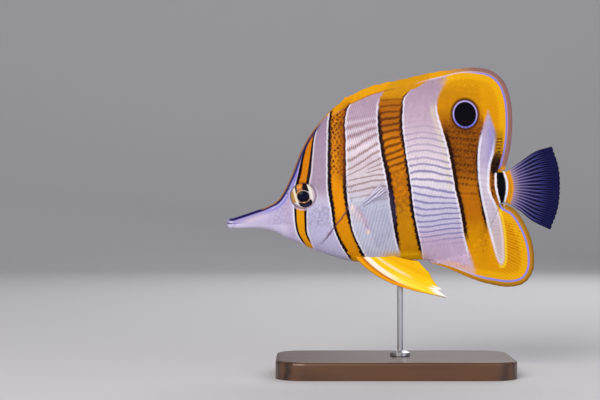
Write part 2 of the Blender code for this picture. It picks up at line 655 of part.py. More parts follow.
def main():
    """Builds the fish and its stand."""
    clear_scene()
    silver = make_material("silver_skin", (0.72, 0.68, 0.76), 0.35)
    yellow = make_material("yellow_fin", (0.9, 0.48, 0.03), 0.4)
    clear = make_material("clear_fin", (0.35, 0.34, 0.55), 0.3)
    eye = make_material("eye_gloss", (0.03, 0.03, 0.05), 0.08)
    wood = make_material("stained_wood", (0.12, 0.07, 0.045), 0.35)
    steel = make_material("brushed_steel", (0.6, 0.6, 0.6), 0.25, 1.0)
    build_jaws(silver)
    build_head(silver)
    for word, side in (("left", -1), ("right", 1)):
        eye_solid("eye_" + word, side, 0.0, eye)
        build_gill_cover("gill_cover_" + word, side, silver)
    trunk_solid("trunk", 0.0, silver)
    build_stalk(silver)
    build_median_fins(yellow, clear)
    for word, side in (("left", -1), ("right", 1)):
        build_pectoral_fin("pectoral_fin_" + word, side, trunk_solid("cutter", GAP, silver), clear)
        build_pelvic_fin("pelvic_fin_" + word, side, trunk_solid("cutter", GAP, silver), yellow)
    build_stand(wood, steel, trunk_solid("cutter", GAP, silver))


main()
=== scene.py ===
"""Visual model of a life-size copperband butterflyfish on a display stand.

Sizes are given in the fish's own millimetres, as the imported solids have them: "back" runs from the tip
of the snout to the tail, "up" is measured from the level of that tip, and "side" goes out of a flank.
The left flank faces -Y. Places are turned to metres only where a mesh is made.
"""

import logging
import math
from dataclasses import dataclass
from enum import Enum, StrEnum, auto
from functools import cache, cached_property
from typing import Any

import bmesh
import bpy
import numpy as np
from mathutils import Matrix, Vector
from mathutils.bvhtree import BVHTree


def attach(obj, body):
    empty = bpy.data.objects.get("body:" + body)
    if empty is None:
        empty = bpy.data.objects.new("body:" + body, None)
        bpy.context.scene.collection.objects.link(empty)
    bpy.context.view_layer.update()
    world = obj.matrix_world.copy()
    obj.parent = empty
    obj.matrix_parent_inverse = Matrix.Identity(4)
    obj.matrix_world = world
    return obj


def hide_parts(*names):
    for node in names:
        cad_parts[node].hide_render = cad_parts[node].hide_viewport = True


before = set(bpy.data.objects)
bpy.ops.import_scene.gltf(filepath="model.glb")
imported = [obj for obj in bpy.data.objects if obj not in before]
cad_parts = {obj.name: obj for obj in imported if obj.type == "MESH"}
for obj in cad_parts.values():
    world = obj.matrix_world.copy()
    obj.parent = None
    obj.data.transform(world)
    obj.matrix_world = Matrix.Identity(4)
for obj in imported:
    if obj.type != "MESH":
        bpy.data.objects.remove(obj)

Array = np.ndarray
LOG = logging.getLogger("butterflyfish")
MM = 0.001
BODY = "root"
PATTERN_SEED = 7
# Further than any place on the fish, for a stretch with an open end
EVERYWHERE = 1000.0


class Side(Enum):
    """A flank of the fish, with the sign of its Y direction."""

    LEFT = -1
    RIGHT = 1

    @property
    def word(self) -> str:
        """The side's name in a piece's name."""
        return self.name.lower()


class Field(StrEnum):
    """A measure painted on the vertices, in millimetres unless it says otherwise."""

    # Place across each bar: 0 to 3 over its black front, its middle and its black rear
    EYE_BAR = auto()
    SECOND_BAR = auto()
    THIRD_BAR = auto()
    FOURTH_BAR = auto()
    STALK_BAR = auto()
    # Depth inside the yellow rear, the pale lobe and the dark marks at the rear of the dorsal fin
    YELLOW = auto()
    LOBE = auto()
    PATCH = auto()
    SADDLE = auto()
    # Distance from the fins' margins, and from the line inside them in half widths of that line
    RIM = auto()
    RIM_LINE = auto()
    # Number of the scale row and column, and of the slanting files that run across them
    ROW = auto()
    COLUMN = auto()
    RISING = auto()
    FALLING = auto()
    # Number of the fin ray, and share of the way from a fin's root to its margin
    RAY = auto()
    FIN = auto()
    # Distance from the pectoral fin's base, the back, the gill opening, the eye's middle and the mouth
    FLUSH = auto()
    CROWN = auto()
    GILL = auto()
    ORBIT = auto()
    MOUTH = auto()
    # Distance from the middle of a nostril, of the eyespot and of a scale, in radii of each
    PIT = auto()
    SPOT = auto()
    DOT = auto()
    # Place in the side view, and a scale's own tone from 0 to 1
    BACK = auto()
    UP = auto()
    TONE = auto()

    def __call__(self, low: float = -EVERYWHERE, high: float = EVERYWHERE, soft: float = 0.2) -> "Where":
        """The stretch of this field from low to high."""
        return Where(self, low, high, soft)


# Its short name, for the tables of stretches
F = Field


def linear(colour: str) -> tuple[float, float, float, float]:
    """Turns an sRGB hex colour to the linear values that shaders take.

    Args:
        colour: The colour as "#RRGGBB".

    Returns:
        Red, green, blue and an alpha of 1.
    """
    channels = [int(colour[i : i + 2], 16) / 255 for i in (1, 3, 5)]
    low_or_curve = [c / 12.92 if c <= 0.04045 else ((c + 0.055) / 1.055) ** 2.4 for c in channels]
    return (*low_or_curve, 1.0)


def respaced(line: Array, shares: Array) -> Array:
    """Places along a polyline.

    Args:
        line: Points of the polyline, one a row.
        shares: Shares of its length, from 0 to 1.

    Returns:
        One point for each share.
    """
    run = np.concatenate([[0.0], np.cumsum(np.linalg.norm(np.diff(line, axis=0), axis=1))])
    wanted = np.asarray(shares) * run[-1]
    return np.stack([np.interp(wanted, run, line[:, k]) for k in range(line.shape[1])], axis=1)


def spline(points: Any, count: int) -> Array:
    """Evenly spaced places along a smooth curve through the points.

    Args:
        points: The points that the curve passes through.
        count: How many places to return.

    Returns:
        The places, one a row.
    """
    knots = np.asarray(points, float)
    knots = np.vstack([2 * knots[0] - knots[1], knots, 2 * knots[-1] - knots[-2]])
    times = np.concatenate([[0.0], np.cumsum(np.sqrt(np.linalg.norm(np.diff(knots, axis=0), axis=1)))])
    dense = []
    for i in range(1, len(knots) - 2):
        p0, p1, p2, p3 = knots[i - 1 : i + 3]
        t0, t1, t2, t3 = times[i - 1 : i + 3]
        t = np.linspace(t1, t2, 24, endpoint=False)[:, None]
        a1 = (t1 - t) / (t1 - t0) * p0 + (t - t0) / (t1 - t0) * p1
        a2 = (t2 - t) / (t2 - t1) * p1 + (t - t1) / (t2 - t1) * p2
        a3 = (t3 - t) / (t3 - t2) * p2 + (t - t2) / (t3 - t2) * p3
        b1 = (t2 - t) / (t2 - t0) * a1 + (t - t0) / (t2 - t0) * a2
        b2 = (t3 - t) / (t3 - t1) * a2 + (t - t1) / (t3 - t1) * a3
        dense.append((t2 - t) / (t2 - t1) * b1 + (t - t1) / (t2 - t1) * b2)
    dense.append(knots[-2][None, :])
    return respaced(np.vstack(dense), np.linspace(0.0, 1.0, count))


def eased(low: float, high: float, value: Array) -> Array:
    """Smooth step from 0 at low to 1 at high."""
    share = np.clip((np.asarray(value) - low) / (high - low), 0.0, 1.0)
    return share * share * (3 - 2 * share)


def smoothed(value: Array, knots: Array, heights: Array) -> Array:
    """Smooth curve through knots, held at its end values beyond them.

    Args:
        value: Where the curve is read.
        knots: Rising places of the knots.
        heights: The curve's values there, one row a knot, in one or more columns.

    Returns:
        The curve's value or values at each place.
    """
    knots = np.asarray(knots, float)
    heights = np.asarray(heights, float)
    slopes = np.gradient(heights, knots, axis=0)
    x = np.clip(value, knots[0], knots[-1])
    i = np.clip(np.searchsorted(knots, x) - 1, 0, len(knots) - 2)
    span = knots[i + 1] - knots[i]
    t = (x - knots[i]) / span
    if heights.ndim > 1:
        t, span = t[..., None], span[..., None]
    return (
        heights[i] * (1 + 2 * t) * (1 - t) ** 2
        + heights[i + 1] * t**2 * (3 - 2 * t)
        + slopes[i] * span * t * (1 - t) ** 2
        - slopes[i + 1] * span * t**2 * (1 - t)
    )


def distance_to(line: Array, places: Array) -> Array:
    """Shortest distance from each place to a polyline.

    Args:
        line: Points of the polyline in the side view.
        places: The places to measure.

    Returns:
        The distances.
    """
    best = np.full(len(places), np.inf)
    for start, end in zip(line[:-1], line[1:]):
        along = end - start
        share = np.clip((places - start) @ along / max(float(along @ along), 1e-12), 0.0, 1.0)
        best = np.minimum(best, np.linalg.norm(places - start - share[:, None] * along, axis=1))
    return best


def depth_inside(outline: Array, places: Array) -> Array:
    """How far each place lies inside a closed outline.

    Args:
        outline: Points of the outline in the side view.
        places: The places to measure.

    Returns:
        The distance to the outline, below 0 for a place outside it.
    """
    closed = np.vstack([outline, outline[:1]])
    inside = np.zeros(len(places), bool)
    for (x0, y0), (x1, y1) in zip(closed[:-1], closed[1:]):
        crosses = (y0 > places[:, 1]) != (y1 > places[:, 1])
        reach = x0 + (places[:, 1] - y0) * (x1 - x0) / (y1 - y0 if y1 != y0 else 1e-9)
        inside ^= crosses & (places[:, 0] < reach)
    away = distance_to(closed, places)
    return np.where(inside, away, -away)


@dataclass(frozen=True)
class FishPlan:
    """Outlines and thickness of the fish, as its solids have them."""

    total_length: float = 167.0
    snout_height: float = 76.0
    tail_sway: float = 2.5
    sway_start: float = 95.0
    back_line: tuple = (
        (0, 0.2), (0.5, 1.25), (1.5, 1.8), (2.7, 1.75), (4.2, 2.25), (12.5, 5), (20.5, 8),
        (25.8, 11.4), (31.6, 21.9), (37.4, 36.4), (44.4, 47.6), (55.8, 58.9), (75, 65.2),
        (100, 68.4), (116.5, 63.8), (127.5, 52.5), (133.4, 38.5), (136.2, 26.8), (140, 24.9),
    )
    belly_line: tuple = (
        (0.2, -1.4), (0.8, -2.65), (1.9, -3.2), (3.2, -3), (5.5, -3.15), (17.5, -3.2), (24, -4.9),
        (31.6, -8.7), (46.3, -14.7), (61.8, -19.4), (79, -19.9), (95, -18.8), (108, -19.2),
        (119, -15.4), (128.5, -7), (134, 2.5), (137, 9.4), (141, 9.6),
    )
    # back, half width, widest at, top edge, bottom edge, top narrowing, bottom narrowing
    width_stations: tuple = (
        (0, 1, -0.6, 0.3, 0.3, 0.5, 0.5), (0.8, 1.95, -0.7, 0.3, 0.3, 0.5, 0.5),
        (1.9, 2.35, -0.8, 0.3, 0.3, 0.5, 0.5), (3.2, 2, -0.6, 0.3, 0.3, 0.5, 0.5),
        (6, 2.15, -0.2, 0.3, 0.3, 0.5, 0.5), (17.5, 3.5, 1.2, 0.3, 0.3, 0.55, 0.52),
        (26, 5.3, 4, 0.3, 0.3, 0.6, 0.54), (38, 7.9, 9, 0.4, 0.4, 0.62, 0.56),
        (52, 9.9, 10, 0.7, 0.5, 0.7, 0.56), (68, 10.9, 10, 1, 0.6, 0.92, 0.56),
        (88, 10.7, 12, 1.2, 0.7, 1.05, 0.6), (105, 9.3, 15, 1.4, 1.2, 1.1, 0.85),
        (120, 6.9, 17, 1.4, 1.3, 1.1, 1.05), (133, 4.2, 17.6, 1.2, 1.2, 0.9, 0.9),
        (141.5, 2.6, 17.3, 0.9, 0.9, 0.6, 0.6),
    )
    stalk_end: tuple = ((140, 9.6), (141.3, 17.4), (139.4, 25))
    dorsal_start: float = 56.5
    dorsal_soft_start: float = 101.0
    dorsal_end: float = 136.1
    spiny_margin: tuple = (
        (58, 61.1), (63, 63.9), (69.7, 67.2), (76.3, 69.2), (86.4, 71.2), (103.1, 74.9), (117.8, 77),
    )
    soft_dorsal_margin: tuple = (
        (117.8, 77), (123.2, 77.3), (132, 75.8), (138.2, 70.8), (141.6, 62.5), (142.8, 50),
        (141.9, 38), (139.7, 28.4), (138.7, 25.6),
    )
    dorsal_spines: int = 9
    dorsal_rays: int = 29
    anal_start: float = 100.5
    anal_soft_start: float = 110.5
    anal_end: float = 136.5
    anal_spine_margin: tuple = ((102, -20.5), (108.7, -22.5), (118, -26.6), (124.5, -29.2))
    soft_anal_margin: tuple = (
        (124.5, -29.2), (130.6, -30.9), (141.5, -32.5), (149.2, -30.4), (153.2, -24.5), (153.6, -14.5),
        (150.6, -4), (144.5, 5.8), (139.2, 9),
    )
    anal_spines: int = 3
    anal_rays: int = 20
    eye_centre: tuple = (38.15, 13.1)
    eye_radius: float = 6.3
    eye_depth: float = 3.3
    eye_sunk: float = 1.6
    nostrils: tuple = ((30.9, 16.6, 0.6), (30.2, 14.2, 0.5))
    mouth_up: float = -0.85
    mouth_length: float = 2.2
    gill_line: tuple = ((58.6, 27), (59.3, 20), (59.5, 11), (59, 5.5), (53, -3), (47, -11))

    @cached_property
    def back_curve(self) -> Array:
        """The back's outline, evenly spaced."""
        return spline(self.back_line, 700)

    @cached_property
    def belly_curve(self) -> Array:
        """The belly's outline, evenly spaced."""
        return spline(self.belly_line, 700)

    def top(self, back: Array) -> Array:
        """Height of the back's outline."""
        return np.interp(back, self.back_curve[:, 0], self.back_curve[:, 1])

    def bottom(self, back: Array) -> Array:
        """Height of the belly's outline."""
        return np.interp(back, self.belly_curve[:, 0], self.belly_curve[:, 1])

    def dorsal_share(self, back: Array) -> Array:
        """1 where the back carries the dorsal fin, 0 where its edge is free."""
        return eased(self.dorsal_start, self.dorsal_start + 4, back) * eased(136.4, 134.6, back)

    def anal_share(self, back: Array) -> Array:
        """1 where the belly carries the anal fin, 0 where its edge is free."""
        return eased(self.anal_start, self.anal_start + 4, back) * eased(136.9, 135.2, back)

    def flesh(self, back: Array, up: Array) -> Array:
        """Half thickness of the flesh with its free edges rounded off.

        Args:
            back: Distances from the tip of the snout.
            up: Heights above the level of that tip.

        Returns:
            The half thickness at each place.
        """
        stations = np.asarray(self.width_stations)
        values = smoothed(back, stations[:, 0], stations[:, 1:])
        width, widest, top_edge, bottom_edge, top_power, bottom_power = np.moveaxis(values, -1, 0)
        above = np.clip((up - widest) / (self.top(back) - widest), 0.0, 1.0)
        below = np.clip((widest - up) / (widest - self.bottom(back)), 0.0, 1.0)
        round_top = np.sqrt(np.clip(1 - above**14, 0, 1))
        round_bottom = np.sqrt(np.clip(1 - below**14, 0, 1))
        on_top = top_edge * (round_top + (1 - round_top) * self.dorsal_share(back))
        on_bottom = bottom_edge * (round_bottom + (1 - round_bottom) * self.anal_share(back))
        upper = on_top + (width - top_edge) * (1 - above**2) ** top_power
        lower = on_bottom + (width - bottom_edge) * (1 - below**2) ** bottom_power
        tip = np.sqrt(np.clip(1 - (1 - np.clip(back, 0.0, 0.9) / 0.9) ** 2, 0.0, 1.0))
        return np.where(up > widest, upper, lower) * tip

    def sway(self, back: Array) -> Array:
        """How far the middle plane bends to the right, growing towards the tail."""
        share = np.clip((np.asarray(back) - self.sway_start) / (self.total_length - self.sway_start), 0, 1)
        return self.tail_sway * share**2

    def flank_at(self, back: float, up: float) -> float:
        """Half thickness of the flesh at one place."""
        return float(self.flesh(np.array([back]), np.array([up]))[0])

    def world(self, back: Array, up: Array, side: Array) -> Array:
        """World coordinates in metres of places in the fish's own millimetres."""
        places = np.broadcast_arrays(back - self.total_length / 2, side, up + self.snout_height)
        return np.stack(places, axis=-1) * MM

    def own(self, points: Array) -> tuple[Array, Array]:
        """Back and up of world places."""
        return points[:, 0] / MM + self.total_length / 2, points[:, 2] / MM - self.snout_height


PLAN = FishPlan()


@dataclass(frozen=True)
class ScaleRows:
    """Lie of the scale rows along the flank, and how close the scales are on each."""

    spacing: float = 1.85
    backs: tuple = (46, 61.5, 75, 79.5, 87, 91.5, 97, 110, 122, 138)
    # Number of a row, then its height at each of these distances from the snout
    rows: tuple = (
        (-20, -33, -33, -33, -33, -33, -33, -32.5, -31, -29.5, -27),
        (-15, -18, -18.5, -18.25, -18, -17.75, -17.5, -17.5, -15.75, -14.4, -12.6),
        (-11, -9.5, -9, -8.75, -8.5, -8, -7.5, -7.5, -5.75, -4.8, -3.8),
        (-8, -3, -1.75, -1.25, -1, -0.25, 0.75, 0.15, 1.65, 2, 2.4),
        (-6, 1.5, 3.75, 4.5, 5, 6.25, 7.5, 6.45, 7, 6.8, 6.4),
        (-5, 4, 6.25, 7.75, 8.25, 9.5, 11, 9.85, 9.5, 9, 8.4),
        (-4, 6.5, 9, 11, 11.75, 13, 14.75, 13.5, 12, 11.3, 10.6),
        (-3, 9.25, 11.75, 14.25, 15, 16.25, 17.8, 17.25, 14.8, 14, 13.2),
        (-2, 12, 14.85, 17.5, 18, 19.25, 21, 21.2, 20, 18.4, 16.8),
        (-1, 14.5, 17.75, 20.9, 21, 22.5, 24.5, 25.35, 23, 21.4, 19.6),
        (0, 17.25, 21, 23.35, 23.7, 26.2, 28, 28.85, 26.5, 25, 23.2),
        (1, 18, 21.9, 26, 26.95, 29.5, 31, 31.85, 29.5, 28, 26.2),
        (2, 18.75, 22.75, 28.25, 30.25, 32.75, 34.8, 35.65, 33.3, 31.9, 30.2),
        (3, 19.5, 23.6, 31, 33.15, 36, 37.75, 38.6, 36.25, 35, 33.4),
        (4, 22.5, 26.6, 35, 37.1, 39.5, 41, 41.85, 39.45, 38.3, 36.8),
        (5, 26, 30.75, 38.75, 40.75, 42.6, 43.75, 44.6, 42.15, 41.1, 39.8),
        (6, 31, 36.25, 43.85, 45, 46.2, 47, 47.85, 45.35, 44.4, 43.2),
        (7, 37.5, 42.5, 47.1, 48, 49.2, 49.65, 50.5, 47.9, 47.1, 46),
        (8, 43, 47.25, 50.5, 51.25, 52.25, 52.6, 53.45, 50.85, 50.1, 49.1),
        (9, 48, 51.5, 54, 54.75, 55.25, 55.5, 56.35, 53.75, 53, 52),
        (12, 58, 62, 63.75, 64, 64.25, 64.5, 65.3, 62.5, 61.8, 61),
        (16, 69, 73, 75, 75.5, 76.25, 76.5, 76.8, 75, 74.5, 74),
    )

    def heights(self, back: Array) -> Array:
        """Heights of the table's rows at each distance from the snout, one column a row."""
        return smoothed(back, self.backs, np.asarray(self.rows)[:, 1:].T)

    def row(self, back: Array, up: Array) -> Array:
        """Finds which scale row each place is on.

        Args:
            back: Distances from the tip of the snout.
            up: Heights.

        Returns:
            The rows' numbers, with the share of the way to the next row.
        """
        heights = self.heights(back)
        numbers = np.asarray(self.rows)[:, 0]
        i = np.clip(np.sum(heights < up[:, None], axis=1) - 1, 0, len(numbers) - 2)
        pick = np.arange(len(back))
        low, high = heights[pick, i], heights[pick, i + 1]
        return numbers[i] + (up - low) / (high - low) * (numbers[i + 1] - numbers[i])

    def up(self, row: Array, back: Array) -> Array:
        """Finds the height of a row.

        Args:
            row: The row's number for each place.
            back: Distances from the tip of the snout.

        Returns:
            The height at each distance.
        """
        heights = self.heights(back)
        numbers = np.asarray(self.rows)[:, 0]
        i = np.clip(np.searchsorted(numbers, row) - 1, 0, len(numbers) - 2)
        share = (row - numbers[i]) / (numbers[i + 1] - numbers[i])
        pick = np.arange(len(back))
        return heights[pick, i] * (1 - share) + heights[pick, i + 1] * share


@dataclass(frozen=True)
class Markings:
    """Places of the bars, lines and spots in the side view, alike on both flanks."""

    rows: ScaleRows = ScaleRows()
    # up, then where the black front, the orange, the black rear and the white line behind it start
    eye_bar: tuple = (
        (-12.5, 39.6, 40.4, 42.6, 43.1), (-11, 38.4, 39.3, 41.8, 42.5), (-5.8, 35.3, 36.2, 39.3, 40.2),
        (-0.5, 34.1, 35, 38.8, 39.8), (4.7, 33.7, 34.7, 38.6, 39.8), (13, 33.6, 34.8, 39.2, 40.3),
        (19.5, 34.4, 35.9, 39.5, 41), (24.5, 35.6, 37.2, 40.3, 41.9), (30.5, 36.9, 38.1, 41.2, 42.4),
        (36, 38.4, 39.4, 41.9, 42.9), (41, 40, 40.9, 42.7, 43.4), (48, 43.2, 43.6, 44.6, 45),
    )
    second_bar: tuple = (
        (-20, 62.5, 63.5, 69, 70.8), (-15, 59, 60.1, 66.1, 67.7), (-4, 53.6, 54.7, 61.2, 62.6),
        (7, 51.7, 53.3, 59, 60.7), (15, 50.3, 52.2, 57.7, 59.5), (26, 50.1, 51.7, 57.7, 59.3),
        (39.5, 50.3, 51.9, 58.2, 59.1), (53, 51.2, 52.2, 58.2, 59.2), (57, 52.2, 53.2, 59.6, 60.3),
        (62, 57, 58, 63, 63.5),
    )
    third_bar: tuple = (
        (-19, 87, 87.5, 97, 98), (-11, 84.5, 85.5, 94.8, 96.3), (4.5, 81.4, 83.7, 91.3, 92.9),
        (20, 79.2, 81.5, 89.4, 91), (35, 76.4, 78.3, 87.6, 88.7), (50.5, 74.9, 76.4, 85.7, 87.2),
        (56.5, 75.2, 76.1, 86.6, 87.5), (62, 76.2, 76.7, 87.8, 88.3), (65, 78.2, 78.6, 90.4, 91),
        (68, 80.5, 80.8, 96, 96.5), (71, 82, 82.2, 101, 101.5),
    )
    fourth_bar: tuple = (
        (-24, 123.6, 124, 137, 137.5), (-20.8, 122.5, 123, 135, 135.5),
        (-13.2, 120.2, 121.2, 131.8, 132.5), (-7, 118.3, 119.8, 129.9, 130.9),
        (4.5, 116.1, 117.8, 127, 128.5), (16, 113.4, 115.2, 125, 126.2),
        (27.5, 111.4, 113.2, 123.9, 125.2), (35.8, 109.8, 111.7, 124.2, 125.2),
        (41, 108.5, 110.2, 125.1, 126.2), (48.1, 106.5, 108, 127, 128),
        (55.8, 104.8, 105.2, 127.5, 127.8), (61, 105.1, 105.3, 127, 127.5),
        (65, 106.8, 107, 126.5, 127), (71, 110, 110.2, 126.5, 127),
    )
    stalk_bar: tuple = (
        (6, 137.4, 138, 138.4, 139), (10, 135.7, 136.5, 138.4, 139.2), (13.5, 134.5, 135.3, 139.1, 140),
        (18, 133.5, 134.4, 139.4, 140.4), (22, 133.4, 134.3, 138.9, 139.9), (26, 133.6, 134.5, 137.6, 138.3),
    )
    lobe: tuple = (
        (130.5, 56), (133.3, 47.5), (134.4, 42.8), (133.2, 35.1), (131.2, 28), (130.6, 22),
        (130.9, 16), (133.7, 9.8), (136.2, 3), (137.7, -4), (138.4, -13), (138.4, -19),
        (137.3, -21.8), (135.2, -18.5), (133, -11.5), (130.6, -3), (128, 6), (126.2, 14),
        (124.9, 23), (124.9, 34.1), (126, 41), (127.2, 46), (128.8, 50.5),
    )
    patch: tuple = (
        (134.2, 23.8), (132.4, 24.2), (131.5, 26.4), (131.9, 29.4), (132.9, 32.2), (134, 34.4),
        (136, 35.2), (137.2, 33.4), (136.6, 31), (136.2, 28.6), (135.3, 26.4),
    )
    saddle: tuple = (
        (131, 26.5), (133.6, 26), (133.4, 18.5), (134.1, 14.5), (135.2, 11), (136.6, 7),
        (134.6, 8.4), (132, 13), (131, 18.5),
    )
    spot: tuple = (118.75, 53.75, 5.5, 6.1)
    fin_base: tuple = ((61.8, 7.2), (64.6, 5.6), (67.4, 2.6), (69.2, -0.8), (70.2, -4.6))
    # Depth of the thin line inside the fins' margins: at each distance from the snout, and as painted
    dorsal_line: tuple = ((50, 2), (56, 3.1), (100, 3.4), (108, 3), (114, 2.2), (125, 2.6), (140, 2.9))
    anal_line: tuple = ((102, 0.3), (108, 1.2), (116, 2), (124, 2.3), (135, 2.8), (150, 2.9))
    line_depth: float = 2.9
    line_half: float = 0.3
    # Share of the way to its root at which a scale takes its colour, inside a bar and at its borders
    inner_step: float = 0.34
    outer_step: float = 0.12

    def bar(self, table: tuple, back: Array, up: Array) -> Array:
        """Place of each point across a bar.

        Args:
            table: Rows of a height and the four borders there.
            back: Distances from the tip of the snout.
            up: Heights.

        Returns:
            0 to 3 across the black front, the middle and the black rear, and beyond these the
            millimetres in front of 0 or behind 3.
        """
        knots = np.asarray(table)
        borders = smoothed(up, knots[:, 0], knots[:, 1:])
        across = back - borders[:, 0]
        for k in range(3):
            width = borders[:, k + 1] - borders[:, k]
            beyond = back - borders[:, k + 1]
            across = np.where(back > borders[:, k], k + (back - borders[:, k]) / width, across)
            across = np.where(back > borders[:, k + 1], k + 1 + beyond, across)
        return across

    def rough_bar(self, table: tuple, even: tuple[Array, Array], mixed: tuple[Array, Array]) -> Array:
        """Place across a bar with even outer borders, and inner ones that step from scale to scale.

        Args:
            table: Rows of a height and the four borders there.
            even: Back and up of the places as the outer borders see them.
            mixed: The same as the inner borders see them.

        Returns:
            The places across the bar, as bar gives them.
        """
        smooth = self.bar(table, *even)
        rough = np.clip(self.bar(table, *mixed), 0.5, 2.5)
        return np.where((smooth < 0.5) | (smooth > 2.5), smooth, rough)

    def rims(self, back: Array, places: Array) -> tuple[Array, Array]:
        """Measures from the margins of the dorsal and the anal fin.

        Args:
            back: Distances from the tip of the snout.
            places: The places in the side view.

        Returns:
            The distance from the nearer margin, scaled so that the line inside it lies at
            line_depth, and the distance from that line in half widths of it.
        """
        lead = PLAN.back_curve[(PLAN.back_curve[:, 0] > 50.5) & (PLAN.back_curve[:, 0] < 56)][::12]
        dorsal = np.vstack([lead, spline(PLAN.spiny_margin, 50), spline(PLAN.soft_dorsal_margin, 70)[1:]])
        anal = np.vstack([spline(PLAN.anal_spine_margin, 24), spline(PLAN.soft_anal_margin, 70)[1:]])
        to_dorsal, to_anal = distance_to(dorsal, places), distance_to(anal, places)
        on_dorsal = to_dorsal < to_anal
        on_fins = [smoothed(back, *zip(*depths)) for depths in (self.dorsal_line, self.anal_line)]
        rim = np.minimum(to_dorsal, to_anal) * self.line_depth / np.where(on_dorsal, *on_fins)
        widen = np.where(on_dorsal, eased(100, 140, back) * 0.4125, 0.11 + eased(118, 132, back) * 0.33)
        return rim, (rim - self.line_depth) / (self.line_half + widen)

    def fields(self, back: Array, up: Array, root_back: Array, root_up: Array) -> dict[str, Array]:
        """Measures all the fields at places in the side view.

        Args:
            back: Distances from the tip of the snout.
            up: Heights.
            root_back: The same for the root of the scale that a place is on, or the place itself.
            root_up: The heights of these roots.

        Returns:
            An array for each field that depends on the side view alone.
        """
        places = np.stack([back, up], axis=1)
        row = self.rows.row(back, up)
        # A scale takes its colour in part at its own root, so the borders step from scale to scale
        wave = 0.14 * np.sin(2 * math.pi * row) + 0.1 * np.sin(2 * math.pi * row * 2.3 + back * 1.7)
        mixed, even = (
            (back + (root_back - back) * step + wave * waver, up + (root_up - up) * step)
            for step, waver in ((self.inner_step, 1.0), (self.outer_step, 0.5))
        )
        # The yellow rear starts at the fourth bar's front, more softly above and below
        front = np.asarray(self.fourth_bar)
        softness = 1 + 7 * eased(56, 66, up) + 5 * eased(-9, -19, up)
        past_front = (back - smoothed(up, front[:, 0], front[:, 1])) / softness
        rim, rim_line = self.rims(back, places)
        centre_back, centre_up, half_long, half_high = self.spot
        pits = [np.hypot(back - x, up - y) / radius for x, y, radius in PLAN.nostrils]
        gill = spline(PLAN.gill_line, 60)
        behind = np.sign(back - np.interp(-up, -gill[:, 1], gill[:, 0]))
        shift = 0.2 * np.sin(up * 1.9 + back * 1.3) * np.sin(up * 0.37 - back * 2.1)
        return {
            F.SECOND_BAR: self.rough_bar(self.second_bar, even, mixed),
            F.THIRD_BAR: self.rough_bar(self.third_bar, even, mixed),
            F.FOURTH_BAR: self.rough_bar(self.fourth_bar, even, mixed),
            F.EYE_BAR: self.bar(self.eye_bar, back, up),
            F.STALK_BAR: self.bar(self.stalk_bar, back, up),
            F.YELLOW: np.maximum(self.line_depth - rim, past_front),
            F.RIM: rim,
            F.RIM_LINE: rim_line,
            F.LOBE: depth_inside(spline(self.lobe + self.lobe[:1], 120)[:-1], places),
            F.SPOT: np.hypot((back - centre_back) / half_long, (up - centre_up) / half_high),
            F.PATCH: depth_inside(np.asarray(self.patch), places),
            F.SADDLE: depth_inside(np.asarray(self.saddle), places),
            F.ROW: row + 0.025 * np.sin(back * 2.3 + row * 2.1) + 0.03 * np.sin(back * 0.83 - row * 1.3),
            F.COLUMN: (back - 0.25 * up) / self.rows.spacing,
            F.RISING: (back - 0.75 * up) / 2.5 + 0.24 * np.sin(up * 0.7 + back * 0.4) + shift,
            F.FALLING: (back + 0.85 * up) / 2.4 + 0.24 * np.sin(up * 0.9 - back * 0.6) - shift,
            F.FLUSH: distance_to(spline(self.fin_base, 40), places),
            F.ORBIT: np.hypot(back - PLAN.eye_centre[0], up - PLAN.eye_centre[1]),
            F.CROWN: distance_to(PLAN.back_curve[::3], places),
            F.GILL: distance_to(gill, places) * behind,
            F.PIT: np.minimum(*pits),
            F.MOUTH: np.abs(up - PLAN.mouth_up) + np.clip((back - PLAN.mouth_length) / 2, 0, 4),
            F.BACK: back,
            F.UP: up,
        }


MARKINGS = Markings()


def store(mesh: bpy.types.Mesh, values: dict[str, Array]) -> None:
    """Stores measures on a mesh's vertices.

    Args:
        mesh: The mesh to paint.
        values: For each name an array of numbers or of vectors, in the order of the vertices.
    """
    for name, value in values.items():
        numbers = np.asarray(value, np.float32)
        kind, slot = ("FLOAT", "value") if numbers.ndim == 1 else ("FLOAT_VECTOR", "vector")
        mesh.attributes.new(str(name), kind, "POINT").data.foreach_set(slot, numbers.ravel())


def read_all(items: Any, what: str, columns: int = 1) -> Array:
    """Reads one property of all of a mesh's vertices, corners or stored measures.

    Args:
        items: The collection to read.
        what: The property's name.
        columns: How many numbers it has.

    Returns:
        One number for each item, or one row where there are more columns.
    """
    kind = np.int32 if what == "vertex_index" else np.float32
    values = np.empty(len(items) * columns, kind)
    items.foreach_get(what, values)
    return values if columns == 1 else values.reshape(-1, columns).astype(float)


def new_object(name: str, mesh: bpy.types.Mesh) -> bpy.types.Object:
    """Makes an object and links it to the scene.

    Args:
        name: Its name.
        mesh: Its mesh.

    Returns:
        The object.
    """
    made = bpy.data.objects.new(name, mesh)
    bpy.context.scene.collection.objects.link(made)
    return made


def quads_of(grid: Array) -> Array:
    """The quads between neighbours in a grid of vertex numbers."""
    return np.stack([grid[:-1, :-1], grid[1:, :-1], grid[1:, 1:], grid[:-1, 1:]], axis=-1).reshape(-1, 4)


def both_sides(grids: list[Array], rim: Array) -> tuple[Array, Array]:
    """Faces of a closed form whose two sides are alike and share their rim.

    Args:
        grids: Vertex numbers of the first side. The second side's vertices follow them, without the rim.
        rim: True for each of the first side's vertices that the second shares.

    Returns:
        The quads, and 0 or 1 for the side of each.
    """
    other = np.where(rim, np.arange(len(rim)), len(rim) + np.cumsum(~rim) - 1)
    quads, sides = [], []
    for near in map(quads_of, grids):
        quads += [near, other[near][:, ::-1]]
        sides += [0] * len(near) + [1] * len(near)
    return np.vstack(quads), np.asarray(sides)


